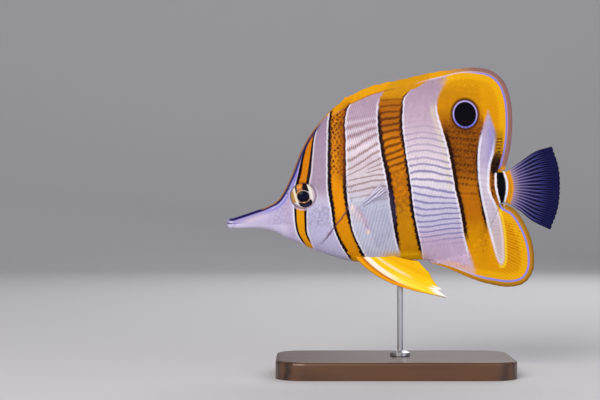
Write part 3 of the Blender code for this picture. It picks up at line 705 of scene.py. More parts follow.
def closed_mesh(name: str, points: Any, faces: Any) -> bpy.types.Mesh:
    """Makes a smooth closed mesh with its faces outwards.

    Args:
        name: The mesh's name.
        points: Vertices, one a row.
        faces: Vertex numbers of each face, all turned the same way.

    Returns:
        The mesh.
    """
    mesh = bpy.data.meshes.new(name)
    mesh.from_pydata(np.asarray(points).tolist(), [], faces)
    form = bmesh.new()
    form.from_mesh(mesh)
    if form.calc_volume(signed=True) < 0:
        mesh.flip_normals()
    form.free()
    mesh.shade_smooth()
    return mesh


def feed(tree: bpy.types.NodeTree, node: Any, **inputs: Any) -> None:
    """Sets or links a node's inputs.

    Args:
        tree: The tree that the node is in.
        node: The node.
        **inputs: A value, or a socket to link, for each input: by its name with "_" for a space, or
            by its number as "in0" and so on.
    """
    for name, value in inputs.items():
        by_number = name.startswith("in") and name[2:].isdigit()
        socket = node.inputs[int(name[2:]) if by_number else name.replace("_", " ")]
        if isinstance(value, bpy.types.NodeSocket):
            tree.links.new(value, socket)
        else:
            socket.default_value = value


def add_node(
    tree: bpy.types.NodeTree, kind: str, settings: dict[str, Any] | None = None, stops: Any = (),
    **inputs: Any,
) -> Any:
    """Adds a node with its settings and its inputs.

    Args:
        tree: The tree to add it to.
        kind: The node's type name.
        settings: Values for the node's own properties.
        stops: Rising places of a colour ramp, each with its hex colour.
        **inputs: Its inputs, as feed takes them.

    Returns:
        The node.
    """
    node = tree.nodes.new(kind)
    for name, value in (settings or {}).items():
        setattr(node, name, value)
    for number, (place, colour) in enumerate(stops):
        elements = node.color_ramp.elements
        stop = elements[number] if number < 2 else elements.new(place)
        stop.position, stop.color = place, linear(colour)
    feed(tree, node, **inputs)
    return node


@dataclass(frozen=True)
class Where:
    """A stretch of one field: 1 between low and high, softened over the given distance at each."""

    field: str
    low: float
    high: float
    soft: float = 0.2


@dataclass(frozen=True)
class Pigment:
    """One layer of colour, laid where all its stretches meet and broken up by a noise."""

    colour: str
    strength: float
    where: tuple[Where, ...]
    broken: float = 0.0
    grain: float = 900.0


def tint(colour: str, strength: float, *where: Where, broken: float = 0.0, grain: float = 900.0) -> Pigment:
    """A pigment on the stretches that follow its strength."""
    return Pigment(colour, strength, where, broken, grain)


class Painter:
    """Lays pigments over each other in a material's node tree."""

    def __init__(self, tree: bpy.types.NodeTree, ground: Any = None) -> None:
        """Starts to paint.

        Args:
            tree: The material's node tree.
            ground: The colour to lay on, or None where it is set later.
        """
        self.tree = tree
        self.colour = ground
        self.coords = add_node(tree, "ShaderNodeTexCoord").outputs["Object"]

    @cache
    def noise(self, grain: float) -> Any:
        """The socket of a noise with patches 1 / grain metres apart."""
        node = add_node(self.tree, "ShaderNodeTexNoise", Vector=self.coords, Scale=grain, Detail=1.0)
        return node.outputs["Fac"]

    @cache
    def value(self, field: str) -> Any:
        """The socket that reads a field."""
        return add_node(self.tree, "ShaderNodeAttribute", {"attribute_name": str(field)}).outputs["Fac"]

    def nearer(self, away: Any, outer: float, inner: float) -> Any:
        """A socket that rises smoothly from 0 to 1 as a distance falls.

        Args:
            away: The socket with the distance.
            outer: The distance at which it is 0.
            inner: The distance at which it is 1.

        Returns:
            The socket.
        """
        ramp = add_node(
            self.tree, "ShaderNodeMapRange", {"interpolation_type": "SMOOTHSTEP"},
            Value=away, From_Min=outer, From_Max=inner,
        )
        return ramp.outputs[0]

    def mask(self, where: Where) -> Any:
        """A socket that is 1 inside a stretch of a field and 0 outside it.

        Args:
            where: The stretch.

        Returns:
            The socket.
        """
        middle, half = (where.low + where.high) / 2, (where.high - where.low) / 2
        off = add_node(
            self.tree, "ShaderNodeMath", {"operation": "SUBTRACT"}, in0=self.value(where.field), in1=middle
        )
        away = add_node(self.tree, "ShaderNodeMath", {"operation": "ABSOLUTE"}, in0=off.outputs[0])
        return self.nearer(away.outputs[0], half + where.soft / 2, half - where.soft / 2)

    def lines(self, field: str, half: float, soft: float, times: float = 1.0, shift: float = 0.0) -> Any:
        """A socket that is 1 on thin lines where a field passes whole numbers.

        Args:
            field: The field that the lines follow.
            half: Half a line's width as a share of the distance between lines.
            soft: How soft its sides are, in the same share.
            times: Lines for each unit of the field.
            shift: How far the lines are moved, in the same share.

        Returns:
            The socket.
        """
        # A large whole number added to the field keeps it above 0, where its folds are even
        placed = add_node(
            self.tree, "ShaderNodeMath", {"operation": "MULTIPLY_ADD"},
            in0=self.value(field), in1=times, in2=EVERYWHERE + shift,
        )
        away = add_node(
            self.tree, "ShaderNodeMath", {"operation": "PINGPONG"}, in0=placed.outputs[0], in1=0.5
        )
        return self.nearer(away.outputs[0], half + soft, half)

    def share(
        self, where: tuple[Where, ...], strength: float, *lines: Any, broken: float = 0.0,
        grain: float = 900.0,
    ) -> Any:
        """A socket with the product of some masks.

        Args:
            where: The stretches that must all hold.
            strength: The most that the product reaches.
            *lines: Sockets of lines or measures that it is multiplied by.
            broken: How much of it a noise takes away, from 0 to 1.
            grain: Patches of that noise in a metre.

        Returns:
            The socket.
        """
        masks = [self.mask(stretch) for stretch in where]
        if broken:
            gaps = add_node(
                self.tree, "ShaderNodeMapRange", Value=self.noise(grain), From_Min=0.41, From_Max=0.58,
                To_Min=1 - broken,
            )
            masks.append(gaps.outputs[0])
        product: Any = strength
        for mask in (*masks, *lines):
            node = add_node(self.tree, "ShaderNodeMath", {"operation": "MULTIPLY"}, in0=mask, in1=product)
            product = node.outputs[0]
        return product

    def lay(self, *pigments: Pigment) -> None:
        """Lays pigments over what is there, one after another.

        Args:
            *pigments: The pigments, from the lowest.
        """
        for pigment in pigments:
            share = self.share(pigment.where, pigment.strength, broken=pigment.broken, grain=pigment.grain)
            self.blend(linear(pigment.colour), share)

    def blend(self, colour: Any, share: Any, how: str = "MIX") -> None:
        """Mixes a colour over what is there.

        Args:
            colour: The colour, or a socket with one.
            share: How much of it, or a socket with that.
            how: The kind of mix.
        """
        settings = {"data_type": "RGBA", "blend_type": how}
        node = add_node(self.tree, "ShaderNodeMix", settings, in0=share, in6=self.colour, in7=colour)
        self.colour = node.outputs[2]


def new_material(name: str, **inputs: Any) -> tuple[bpy.types.Material, bpy.types.NodeTree, Any]:
    """Makes a material with its Principled shader.

    Args:
        name: The material's name.
        **inputs: Values on the shader's own sockets, as feed takes them.

    Returns:
        The material, its node tree and its shader.
    """
    material = bpy.data.materials.new(name)
    material.use_nodes = True
    tree = material.node_tree
    shader = tree.nodes["Principled BSDF"]
    feed(tree, shader, **inputs)
    return material, tree, shader


@dataclass(frozen=True)
class FishSkinFinish:
    """Living fish skin, as grown: silvery guanine with pigment bars in it, and little gloss in soft light."""

    name: str = "wet_fish_skin"
    roughness: float = 0.46
    specular: float = 0.05

    # Ground colours by height above the snout's tip, from the belly to the back: partly the skin's own lilac
    # and mauve, and partly painted shade, palest a little above the eye and darker towards the back
    ground: tuple = (
        (-22.0, "#D6C2DC"), (-8.0, "#D0C4E0"), (8.0, "#D2CCE2"), (22.0, "#EDE3E9"),
        (38.0, "#DECCD8"), (52.0, "#C3AABD"), (68.0, "#AF95AA"),
    )

    # Stretches that several pigments share
    band_one = F.EYE_BAR(3), F.SECOND_BAR(high=0)
    band_two = F.SECOND_BAR(3), F.THIRD_BAR(high=0)
    second = F.SECOND_BAR(0.5, 2.5, 0.4)
    third = F.THIRD_BAR(0.4, 2.6, 0.4)
    inside = F.RIM(2.9, soft=0.6)
    lobe = F.LOBE(0.6, soft=2.2)
    # The pigments, from the lowest layer to the highest, each with its strength and where it lies
    pigments: tuple[Pigment, ...] = (
        # Head: mauve above, blue-grey below, lilac snout
        tint("#98809C", 0.85, *band_one, F.UP(12, 60, 12)),
        tint("#BDB9DC", 0.75, *band_one, F.UP(-30, 9, 12)),
        tint("#8A86A0", 0.5, *band_one, F.UP(-2, 9, 6), broken=1),
        tint("#CBD2E2", 0.7, *band_two, F.UP(-30, 14, 12)),
        tint("#CBBAC4", 0.6, *band_two, F.UP(13, 34, 8)),
        tint("#C2B4DC", 0.6, F.EYE_BAR(high=0)),
        tint("#9A8FCB", 0.75, F.BACK(-1, 30, 8), F.CROWN(-1, 3.2, 2.6)),
        tint("#DCC9C0", 0.4, F.BACK(9, 19, 7), F.CROWN(2.6, 4.4, 1.4)),
        tint("#8B7FA6", 0.38, F.EYE_BAR(high=-1.5, soft=3), F.BACK(21, 33, 6), broken=0.9, grain=1100),
        tint("#7C74CC", 0.75, F.EYE_BAR(high=-0.4, soft=1), F.UP(16, 60, 8)),
        tint("#B9A2B8", 0.45, F.EYE_BAR(-5.5, -1, 3), F.UP(-4, 14, 8), broken=0.6, grain=700),
        # Yellow of the fins and of the whole rear
        tint("#E39A04", 1, F.YELLOW(0, soft=0.4)),
        tint("#E6A408", 0.6, F.YELLOW(0, soft=0.4), F.UP(62, 90, 10)),
        tint("#C07E08", 0.7, F.FOURTH_BAR(0, 2, 1), F.UP(46, 68, 8)),
        tint("#FBBE10", 0.6, F.RIM(3.4, 7, 2.2), F.BACK(108, 170, 8)),
        # Fourth bar: brown in its middle, orange below
        tint("#B8660A", 0.85, F.FOURTH_BAR(0, 3, 0.5), F.UP(-2, 52, 14)),
        tint("#6A3408", 0.85, F.FOURTH_BAR(0.3, 2.9, 0.6), F.UP(22, 51, 12), broken=0.35),
        tint("#F2F0FA", 1, F.LOBE(0, soft=1.6), F.UP(-30, 44, 10)),
        tint("#D2C4D4", 0.9, lobe),
        tint("#C2A48E", 0.4, lobe, F.UP(-30, 0, 12)),
        tint("#A99CC8", 0.6, F.LOBE(0, soft=1.4), F.UP(27, 60, 12)),
        tint("#8E88D4", 0.6, F.LOBE(0, soft=1.2), F.BACK(130.5, 140, 4), F.UP(22, 50, 8)),
        tint("#FFDC2E", 0.8, F.LOBE(-1.6, -0.5, 0.7), F.BACK(136, 170, 2), F.UP(-30, 8, 4)),
        # Second and third bars
        tint("#E89206", 1, second, inside),
        tint("#D98E08", 0.7, second, F.UP(-30, -2, 10)),
        tint("#B4600A", 0.4, F.SECOND_BAR(0.7, 2.4, 0.5), F.UP(34, 58, 16), inside, broken=0.8, grain=420),
        tint("#D07C08", 1, third, inside),
        tint("#A85C08", 0.8, third, F.UP(44, 64, 8)),
        tint("#D2930A", 0.9, third, F.UP(61.5, 80, 6)),
        tint("#CA890A", 0.85, third, F.UP(-30, 10, 10)),
        tint("#7E4A14", 0.48, F.THIRD_BAR(0.6, 2.5, 0.5), F.UP(3, 26, 8), broken=1, grain=480),
        tint("#D8800A", 1, F.EYE_BAR(0.6, 2.4, 0.4)),
        tint("#EBA00A", 0.9, F.EYE_BAR(0.6, 2.4, 0.4), F.UP(-16, 7, 4)),
        # Their black edges
        tint("#120A12", 1, F.EYE_BAR(0, 1, 0.25), F.UP(-11, 47, 3)),
        tint("#1B0C10", 1, F.EYE_BAR(2, 3, 0.25), F.UP(-10, 47, 3)),
        tint("#0E0810", 1, F.SECOND_BAR(0, 1, 0.25), F.UP(-18.5, 56, 3)),
        tint("#150A10", 1, F.SECOND_BAR(2, 3, 0.25), F.UP(-18, 59, 3)),
        tint("#1C0D10", 1, F.THIRD_BAR(0, 1, 0.25), F.UP(-13, 56, 8)),
        tint("#1C0D10", 1, F.THIRD_BAR(2, 3, 0.25), F.UP(-16, 64, 5)),
        tint("#1E0E0C", 1, F.FOURTH_BAR(0, 1, 0.3), F.UP(-8, 46, 8)),
        tint("#2A140A", 1, F.FOURTH_BAR(2, 3, 0.3), F.UP(-3, 37, 8)),
        # White lines beside them
        tint("#F6F4FF", 0.65, F.EYE_BAR(-0.8, -0.05, 0.5), F.UP(-13, 22, 5)),
        tint("#B4B0F4", 0.7, F.EYE_BAR(-0.7, -0.05, 0.5), F.UP(20, 46, 5)),
        tint("#F6F4FF", 0.55, F.EYE_BAR(3.1, 3.7, 0.5), F.UP(-13, 47, 5)),
        tint("#F6F4FF", 0.7, F.SECOND_BAR(-0.75, -0.1, 0.5), F.UP(-19, 57, 4)),
        tint("#F1ECFA", 0.8, F.SECOND_BAR(3.1, 3.85, 0.5), F.RIM(3)),
        tint("#F1ECFA", 0.8, F.THIRD_BAR(-0.85, -0.1, 0.5), F.UP(-30, 60, 6)),
        tint("#F1ECFA", 0.8, F.THIRD_BAR(3.1, 3.8, 0.5), F.UP(-30, 64, 4)),
        tint("#CFA8C4", 0.5, F.THIRD_BAR(3.4), F.YELLOW(high=0, soft=0.6), F.UP(-30, -6, 10)),
        tint("#E4D8BC", 0.5, F.FOURTH_BAR(-3.6, -1.2, 1.2), F.UP(16, 58, 6)),
        tint("#F1ECFA", 0.85, F.FOURTH_BAR(-1.1, -0.1, 0.5), F.UP(-16, 58, 6)),
        tint("#F4F2FF", 0.8, F.LOBE(0, 1.1, 0.5), F.UP(-20, 42, 6), F.BACK(100, 134, 4)),
        # Pink base of the pectoral fin, with a painted highlight at each of its ends
        tint("#E2C4DA", 0.7, F.FLUSH(-1, 1.5, 1.8)),
        tint("#E8C2C8", 0.5, F.FLUSH(-1, 3.6, 3), F.BACK(62.5, 67, 2.5), F.UP(-0.5, 5, 3)),
        tint("#FFF0D8", 0.8, F.BACK(61.6, 63.2, 1), F.UP(4.6, 8.6, 2.4)),
        tint("#FFF0C4", 0.8, F.BACK(69.4, 71.4, 1.2), F.UP(-5.8, -3.9, 1.2)),
        # Dark marks at the rear end of the dorsal fin, and the tail stalk
        tint("#A8620E", 1, F.SADDLE(0, soft=0.5)),
        tint("#3A1208", 0.9, F.SADDLE(0.2, soft=0.5), F.UP(12, 40, 4), broken=0.9, grain=1300),
        tint("#3E1A0A", 0.95, F.PATCH(-0.3, soft=0.8)),
        tint("#12070C", 0.95, F.PATCH(0.1, soft=0.7), broken=0.3),
        tint("#F3F1FF", 1, F.STALK_BAR(0, 1, 0.3), F.UP(6, 24.4, 1)),
        tint("#05040C", 1, F.STALK_BAR(1, 2, 0.15), F.UP(6, 25, 1)),
        tint("#E9EAFF", 1, F.STALK_BAR(2, 3, 0.3), F.UP(6, 25.5, 1)),
        tint("#E39612", 1, F.STALK_BAR(3, 20, 0.3), F.UP(6, 27.5, 1)),
        # Yellow round the roots of the pelvic fins
        tint("#EEB60C", 0.9, F.BACK(78, 97, 8), F.UP(-40, -15, 3.5)),
        tint("#EAA80A", 0.85, F.BACK(63, 70, 3), F.UP(-40, -17.2, 1.5)),
        # Fin margins and the blue line inside them
        tint("#C08C48", 0.8, F.RIM(-1, 2.4, 0.6), F.BACK(110, 170, 8), F.UP(27.5, 90, 1)),
        tint("#8A6468", 0.9, F.RIM(-1, 2.2, 0.9), F.BACK(118, 170, 14), F.UP(28, 90, 3)),
        tint("#B88018", 0.85, F.RIM(-1, 2.4, 0.6), F.BACK(112, 170, 10), F.UP(-40, 8.5, 1)),
        tint("#8E6420", 0.7, F.RIM(-1, 1.3, 0.9), F.BACK(125, 170, 8), F.UP(-40, 8.5, 1)),
        tint("#D9CFEA", 0.6, F.RIM_LINE(-1, 1, 0.7), F.BACK(98, 130, 12)),
        tint("#9A5E1E", 0.5, F.RIM_LINE(-1.2, 0.6, 0.8), F.BACK(58, 84, 6), F.UP(30, 80, 1)),
        tint("#8684E4", 1, F.RIM_LINE(-0.68, 0.68, 0.6), F.BACK(122, 170, 14), F.UP(26.5, 90, 1)),
        tint("#8A8CF0", 1, F.RIM_LINE(-0.62, 0.62, 0.6), F.BACK(122, 170, 14), F.UP(-40, 9, 1)),
        # Eyespot with its pale ring and dark halo
        tint("#4A2408", 0.9, F.SPOT(-1, 1.36, 0.22)),
        tint("#B4AAEA", 1, F.SPOT(-1, 1.14, 0.07)),
        tint("#5F6CE8", 0.8, F.SPOT(0.9, 1.14, 0.07), F.UP(40, 51.5, 5)),
        tint("#04030C", 1, F.SPOT(-1, 1.02, 0.06)),
        # Median line of the head: dark blue on the snout, tan outside it on the forehead
        tint("#8F88E2", 0.85, F.CROWN(1.2, 3.4, 1.2), F.BACK(22, 50, 14), F.EYE_BAR(high=-0.3, soft=0.5)),
        tint("#F0EDFF", 0.4, F.CROWN(1.7, 2.4, 0.5), F.BACK(22, 33, 4)),
        tint("#E6DEFA", 0.6, F.UP(-20, -1.2, 1.6), F.BACK(3, 31, 5)),
        tint("#231E60", 1, F.CROWN(-1, 1.35, 0.45), F.BACK(1.2, 30, 1.6)),
        tint("#231F5C", 0.9, F.CROWN(-1, 1.7, 0.7), F.BACK(24, 46, 4)),
        tint("#C08A4E", 0.9, F.CROWN(-1, 0.6, 0.4), F.BACK(17.5, 53, 3)),
        # Pale lips
        tint("#E9E6FF", 0.6, F.BACK(-2, 3, 2), F.CROWN(1.3, 9, 0.8)),
        # Ring of the eye socket
        tint("#D8CFE8", 0.5, F.ORBIT(6.5, 7.4, 0.5), F.UP(0, 17, 4)),
        tint("#A08AA8", 0.75, F.ORBIT(5, 6.75, 0.3), F.UP(0, 17.5, 3)),
        # Painted shade: dark lines in the gill opening and the mouth, and dark nostril pits
        tint("#6C3E5A", 0.8, F.GILL(-0.3, 0.4, 0.5), F.UP(-9, 6, 6)),
        tint("#3A2030", 0.4, F.GILL(-0.1, 0.3, 0.3), F.UP(4, 24, 4)),
        tint("#3A2C48", 0.6, F.PIT(-1, 0.9, 0.4)),
        tint("#2A1C30", 0.9, F.MOUTH(-1, 0.2)),
    )

    def build(self) -> bpy.types.Material:
        """Makes the material.

        Returns:
            The material.
        """
        material, tree, shader = new_material(
            self.name, Roughness=self.roughness, Specular_IOR_Level=self.specular
        )
        painter = Painter(tree)
        low, high = self.ground[0][0], self.ground[-1][0]
        height = add_node(tree, "ShaderNodeMapRange", Value=painter.value(F.UP), From_Min=low, From_Max=high)
        stops = [((up - low) / (high - low), colour) for up, colour in self.ground]
        painter.colour = add_node(tree, "ShaderNodeValToRGB", stops=stops, Fac=height.outputs[0]).outputs[0]
        painter.lay(*self.pigments)
        self.row_lines(painter)
        self.ray_streaks(painter)
        self.tone(painter)
        # Pores and fine relief of the skin, about 0.5 mm apart
        pores = add_node(tree, "ShaderNodeTexNoise", Vector=painter.coords, Scale=1800.0, Detail=3.0)
        bump = add_node(tree, "ShaderNodeBump", Strength=0.12, Distance=0.0002, Height=pores.outputs["Fac"])
        feed(tree, shader, Base_Color=painter.colour, Normal=bump.outputs[0])
        return material

    def row_lines(self, painter: Painter) -> None:
        """Lays dark lines and dots along the scale rows, as each part of the flank has them.

        Args:
            painter: The painter of the skin's material.
        """
        line = painter.lines(F.ROW, 0.04, 0.15)
        wide = painter.lines(F.ROW, 0.07, 0.16)
        between = painter.lines(F.ROW, 0.14, 0.18, shift=0.5)
        cross = painter.lines(F.COLUMN, 0.14, 0.3, 1.15)
        dots = painter.lines(F.COLUMN, 0.16, 0.3, 2)
        beads = painter.lines(F.COLUMN, 0.12, 0.3, 2, 0.5)
        marks = painter.lines(F.UP, 0.15, 0.28, 1 / 1.6)
        rings = painter.lines(F.RISING, 0.25, 0.25)
        files = painter.lines(F.FALLING, 0.25, 0.25)
        # Two rows end behind the gill opening, so their lines stop there
        ended = painter.share((F.ROW(0.45, 2.55), F.BACK(high=69, soft=5)), 1.0)
        going = add_node(painter.tree, "ShaderNodeMath", {"operation": "SUBTRACT"}, in0=1.0, in1=ended)
        line = painter.share((), 1.0, line, going.outputs[0])
        white_two = F.SECOND_BAR(3.5, soft=0.8), F.THIRD_BAR(high=-0.5, soft=0.8)
        white_three = F.THIRD_BAR(3.4, soft=0.8), F.FOURTH_BAR(high=-0.6, soft=0.8)
        bare = F.YELLOW(high=-0.3, soft=0.6)
        mottled = (F.SECOND_BAR(0.6, 2.6, 0.4), self.inside)
        # Colour, where it lies, its strength, its lines, and how much of it the cross lines break up
        zones = (
            ("#5A2206", (*mottled, F.UP(23, 57, 8)), 0.95, rings, files, 1),
            ("#7A3406", (F.SECOND_BAR(1.6, 2.6, 0.7), F.UP(20, 58, 14)), 0.6, None, None, 0),
            ("#7A74AC", (*white_three, F.UP(-9, 30, 10)), 0.85, line, None, 0),
            ("#8E7FA8", (*white_three, F.UP(26, 48, 16)), 0.6, line, dots, 0.3),
            ("#9A92B4", (*white_three, F.UP(-18, 46, 8)), 0.14, None, cross, 1),
            ("#7E5A50", (*white_two, F.UP(12, 50, 12)), 0.8, line, dots, 0.55),
            ("#F6EFF6", (*white_two, bare, F.UP(34, 52, 6)), 0.75, between, beads, 1),
            ("#8C7286", (*white_two, bare, F.UP(40, 64, 8)), 0.35, None, dots, 1),
            ("#A6A8C2", (*white_two, F.UP(-20, 9, 8)), 0.5, None, cross, 1),
            ("#5A2608", (F.THIRD_BAR(0.6, 2.4, 0.3), F.UP(26, 54, 6)), 0.8, wide, None, 0),
            ("#5E2C08", (F.THIRD_BAR(0.6, 2.4, 0.3), F.UP(50, 62, 6)), 0.8, line, dots, 0.5),
            ("#5A2C0A", (F.FOURTH_BAR(0.6, 2.6, 0.3), F.UP(12, 48, 8)), 0.5, line, cross, 0.5),
            ("#9A6C0C", (F.BACK(133.4, 138.2, 1.6), F.UP(33, 46, 5)), 0.6, None, None, 0),
            ("#4A1E08", (F.BACK(134.3, 137.7, 1.2), F.UP(33, 42.5, 3)), 0.9, marks, None, 0),
            ("#A59CC0", (F.LOBE(0.8, soft=0.8), F.UP(-10, 36, 8)), 0.25, line, None, 0),
        )
        for colour, where, strength, along, across, broken in zones:
            lines = [] if along is None else [along]
            if across is not None:
                softened = add_node(painter.tree, "ShaderNodeMapRange", Value=across, To_Min=1 - broken)
                lines.append(softened.outputs[0])
            patchy = 0.6 if along in (rings, marks) else 0.0
            painter.blend(linear(colour), painter.share(where, strength, *lines, broken=patchy, grain=620))

    def ray_streaks(self, painter: Painter) -> None:
        """Lays fine darker streaks along the rays of the dorsal and anal fins.

        Args:
            painter: The painter of the skin's material.
        """
        streak = painter.lines(F.RAY, 0.12, 0.25, 2)
        inside_line = F.RIM(3.6, soft=0.5)
        # Where they lie, their strength, and how patchy they are
        zones = (
            ((F.FIN(0.12, 0.86), inside_line), 0.17, 0.0),
            ((F.BACK(126.5, 131, 2), F.UP(-20, -3, 4), F.FOURTH_BAR(0.5, 3, 0.5)), 0.4, 0.8),
            ((F.BACK(140.5, 147, 2.5), F.UP(-21, 0, 5), inside_line), 0.45, 1.0),
        )
        for where, strength, broken in zones:
            painter.blend(linear("#9A5E08"), painter.share(where, strength, streak, broken=broken))

    def tone(self, painter: Painter) -> None:
        """Makes the scales differ a little from each other, with dark ones in the fourth bar.

        Args:
            painter: The painter of the skin's material.
        """
        darker = add_node(painter.tree, "ShaderNodeMapRange", Value=painter.value(F.TONE), To_Max=0.25)
        painter.blend(linear("#D2CEDA"), darker.outputs[0], "MULTIPLY")
        dark_scales = F.FOURTH_BAR(0.8, 2.7, 0.3), F.UP(14, 48, 8), F.TONE(0.35, 2)
        painter.lay(tint("#4A1E08", 0.65, *dark_scales, F.DOT(-1, 0.42, 0.35)))


@dataclass
class Skin:
    """The whole flesh with its dorsal and anal fins, as one closed skin."""

    column_pitch: float = 0.42
    body_rows: int = 78
    dorsal_rows: int = 20
    anal_rows: int = 24
    coat_depth: float = 0.25
    snout_pitch: float = 0.12
    end_columns: int = 52
    end_bulge: float = 1.6
    cap_reach: float = 1.3
    # Forms of the head: how deep or how high each is
    socket_depth: float = 2.6
    socket_rim: float = 0.42
    mouth_depth: float = 0.5
    nostril_depth: float = 0.45
    nostril_rim: float = 0.16
    lid_rise: float = 0.42
    lid_groove: float = 0.22
    # Median fins: half thickness at the margin, height of a ray, and how far the membrane steps back
    margin_half: float = 0.26
    ridge: float = 0.07
    spiny_notch: float = 0.16
    soft_notch: float = 0.008

    def columns(self) -> Array:
        """Spaces the skin's columns, closer where the outlines are steep.

        Returns:
            Their distances from the tip of the snout.
        """
        ends = (0.07, 3.0, 30.0, 56.5, 100.5, 101.0, 110.5, 132.0)
        backs: list[float] = []
        for start, end in zip(ends[:-1], ends[1:]):
            fine = np.linspace(start, end, 200)
            steps = [np.hypot(np.diff(fine), np.diff(edge(fine))) for edge in (PLAN.top, PLAN.bottom)]
            run = np.concatenate([[0.0], np.cumsum(sum(steps) / 2)])
            pitch = self.snout_pitch if end <= 3 else self.column_pitch
            count = max(1, round(run[-1] / pitch))
            backs += list(np.interp(np.linspace(0, run[-1], count + 1)[:-1], run, fine))
        return np.asarray(backs)

    def build(self) -> bpy.types.Object:
        """Makes the skin.

        Returns:
            The object, painted, unwrapped and dressed.
        """
        plan = PLAN
        # The rows are closer at the back and the belly, where the flesh turns round
        even = np.linspace(0.0, 1.0, self.body_rows)
        share = 0.82 * (0.5 - 0.5 * np.cos(math.pi * even)) + 0.18 * even
        backs = self.columns()
        low = np.stack([backs, plan.bottom(backs)], axis=1)
        high = np.stack([backs, plan.top(backs)], axis=1)
        # Last stretch: the columns lean over into the curved end of the stalk
        count = self.end_columns
        lean = np.linspace(0.0, 1.0, count)
        back_end = plan.back_curve[(plan.back_curve[:, 0] >= 132) & (plan.back_curve[:, 0] <= 139.4)]
        belly_end = plan.belly_curve[(plan.belly_curve[:, 0] >= 132) & (plan.belly_curve[:, 0] <= 140.0)]
        high_end = self.with_places(back_end, (plan.dorsal_end,), count)
        low_end = self.with_places(belly_end, (plan.anal_end,), count)
        low = np.vstack([low, low_end])
        high = np.vstack([high, high_end])
        bulge = np.concatenate([np.zeros(len(backs)), self.end_bulge * lean**2])
        grid = low[:, None] * (1 - share[None, :, None]) + high[:, None] * share[None, :, None]
        grid[..., 0] += bulge[:, None] * 4 * (share * (1 - share))[None, :]
        half = plan.flesh(grid[..., 0].ravel(), grid[..., 1].ravel()).reshape(grid.shape[:2])
        half[0] = 0.0
        half = self.sculpt(grid, half)
        # Rounded end of the stalk, out of which the tail fin grows
        turns = np.radians([30.0, 55.0, 75.0, 90.0])
        caps = [grid[-1] + np.array([self.cap_reach * math.sin(t), 0.0]) for t in turns]
        closer = [half[-1] * math.cos(t) for t in turns]
        closer[-1] = np.zeros(self.body_rows)
        grid = np.vstack([grid, np.asarray(caps)])
        half = np.vstack([half, np.asarray(closer)])
        body_columns = len(low)
        dorsal, anal = (
            np.flatnonzero((edge[:, 0] > start - 1e-6) & (edge[:, 0] < end + 1e-6))
            for edge, start, end in (
                (high, plan.dorsal_start, plan.dorsal_end), (low, plan.anal_start, plan.anal_end)
            )
        )
        LOG.info("skin: %d body columns, %d dorsal, %d anal", body_columns, len(dorsal), len(anal))
        dorsal_parts = self.fin(
            high[dorsal], plan.dorsal_soft_start, plan.spiny_margin, plan.soft_dorsal_margin,
            plan.dorsal_spines, plan.dorsal_rays, self.dorsal_rows, half[dorsal, -1],
        )
        anal_parts = self.fin(
            low[anal], plan.anal_soft_start, plan.anal_spine_margin, plan.soft_anal_margin,
            plan.anal_spines, plan.anal_rays, self.anal_rows, half[anal, 0],
        )
        return self.assemble(grid, half, (dorsal, -1, *dorsal_parts), (anal, 0, *anal_parts))

    def with_places(self, line: Array, places: tuple[float, ...], count: int) -> Array:
        """Evenly spaced places on a line, the nearest of them moved onto some given distances.

        Args:
            line: Points of the line in the side view.
            places: The distances from the snout that a place must have.
            count: How many places to return.

        Returns:
            The places.
        """
        found = respaced(line, np.linspace(0.0, 1.0, count))
        for back in places:
            nearest = int(np.argmin(np.abs(found[:, 0] - back)))
            found[nearest] = (back, np.interp(back, line[:, 0], line[:, 1]))
        return found

    def sculpt(self, grid: Array, half: Array) -> Array:
        """Adds the forms of the head to the half thickness.

        Args:
            grid: Places of the skin in the side view.
            half: Their half thickness.

        Returns:
            The half thickness with lips, mouth, nostrils, eye sockets and gill covers.
        """
        back, up = grid[..., 0], grid[..., 1]
        places = grid.reshape(-1, 2)
        eye_away = np.hypot(back - PLAN.eye_centre[0], up - PLAN.eye_centre[1])
        socket = PLAN.eye_radius + 0.25
        half = half - self.socket_depth * eased(socket, socket - 1.0, eye_away)
        half = half + self.socket_rim * np.exp(-(((eye_away - socket - 0.55) / 0.5) ** 2))
        mouth = np.exp(-(((up - PLAN.mouth_up) / 0.22) ** 2)) * eased(8.0, 2.0, back)
        half = half * (1 - self.mouth_depth * mouth * eased(0.0, 0.4, back))
        for x, y, radius in PLAN.nostrils:
            away = np.hypot(back - x, up - y)
            half = half - self.nostril_depth * np.exp(-((away / radius) ** 2))
            half = half + self.nostril_rim * np.exp(-(((away - radius * 1.6) / 0.4) ** 2))
        gill = spline(PLAN.gill_line, 60)
        away = distance_to(gill, places).reshape(back.shape)
        border = np.interp(-up, -gill[:, 1], gill[:, 0])
        inside = (back < border) & (up > -12) & (up < 27)
        faded = eased(27.0, 20.0, up)
        lid = np.exp(-((away / 3.2) ** 2)) * self.lid_rise * faded * eased(-12.0, -9.0, up)
        groove = np.exp(-(((away - 0.35) / 0.4) ** 2)) * self.lid_groove * faded * eased(-13.0, -9.0, up)
        half = half + np.where(inside, lid, -groove)
        scaled = eased(52.0, 60.0, back) * np.clip(half - 0.8, 0.0, 1.0)
        return np.maximum(half - self.coat_depth * scaled, 0.0)

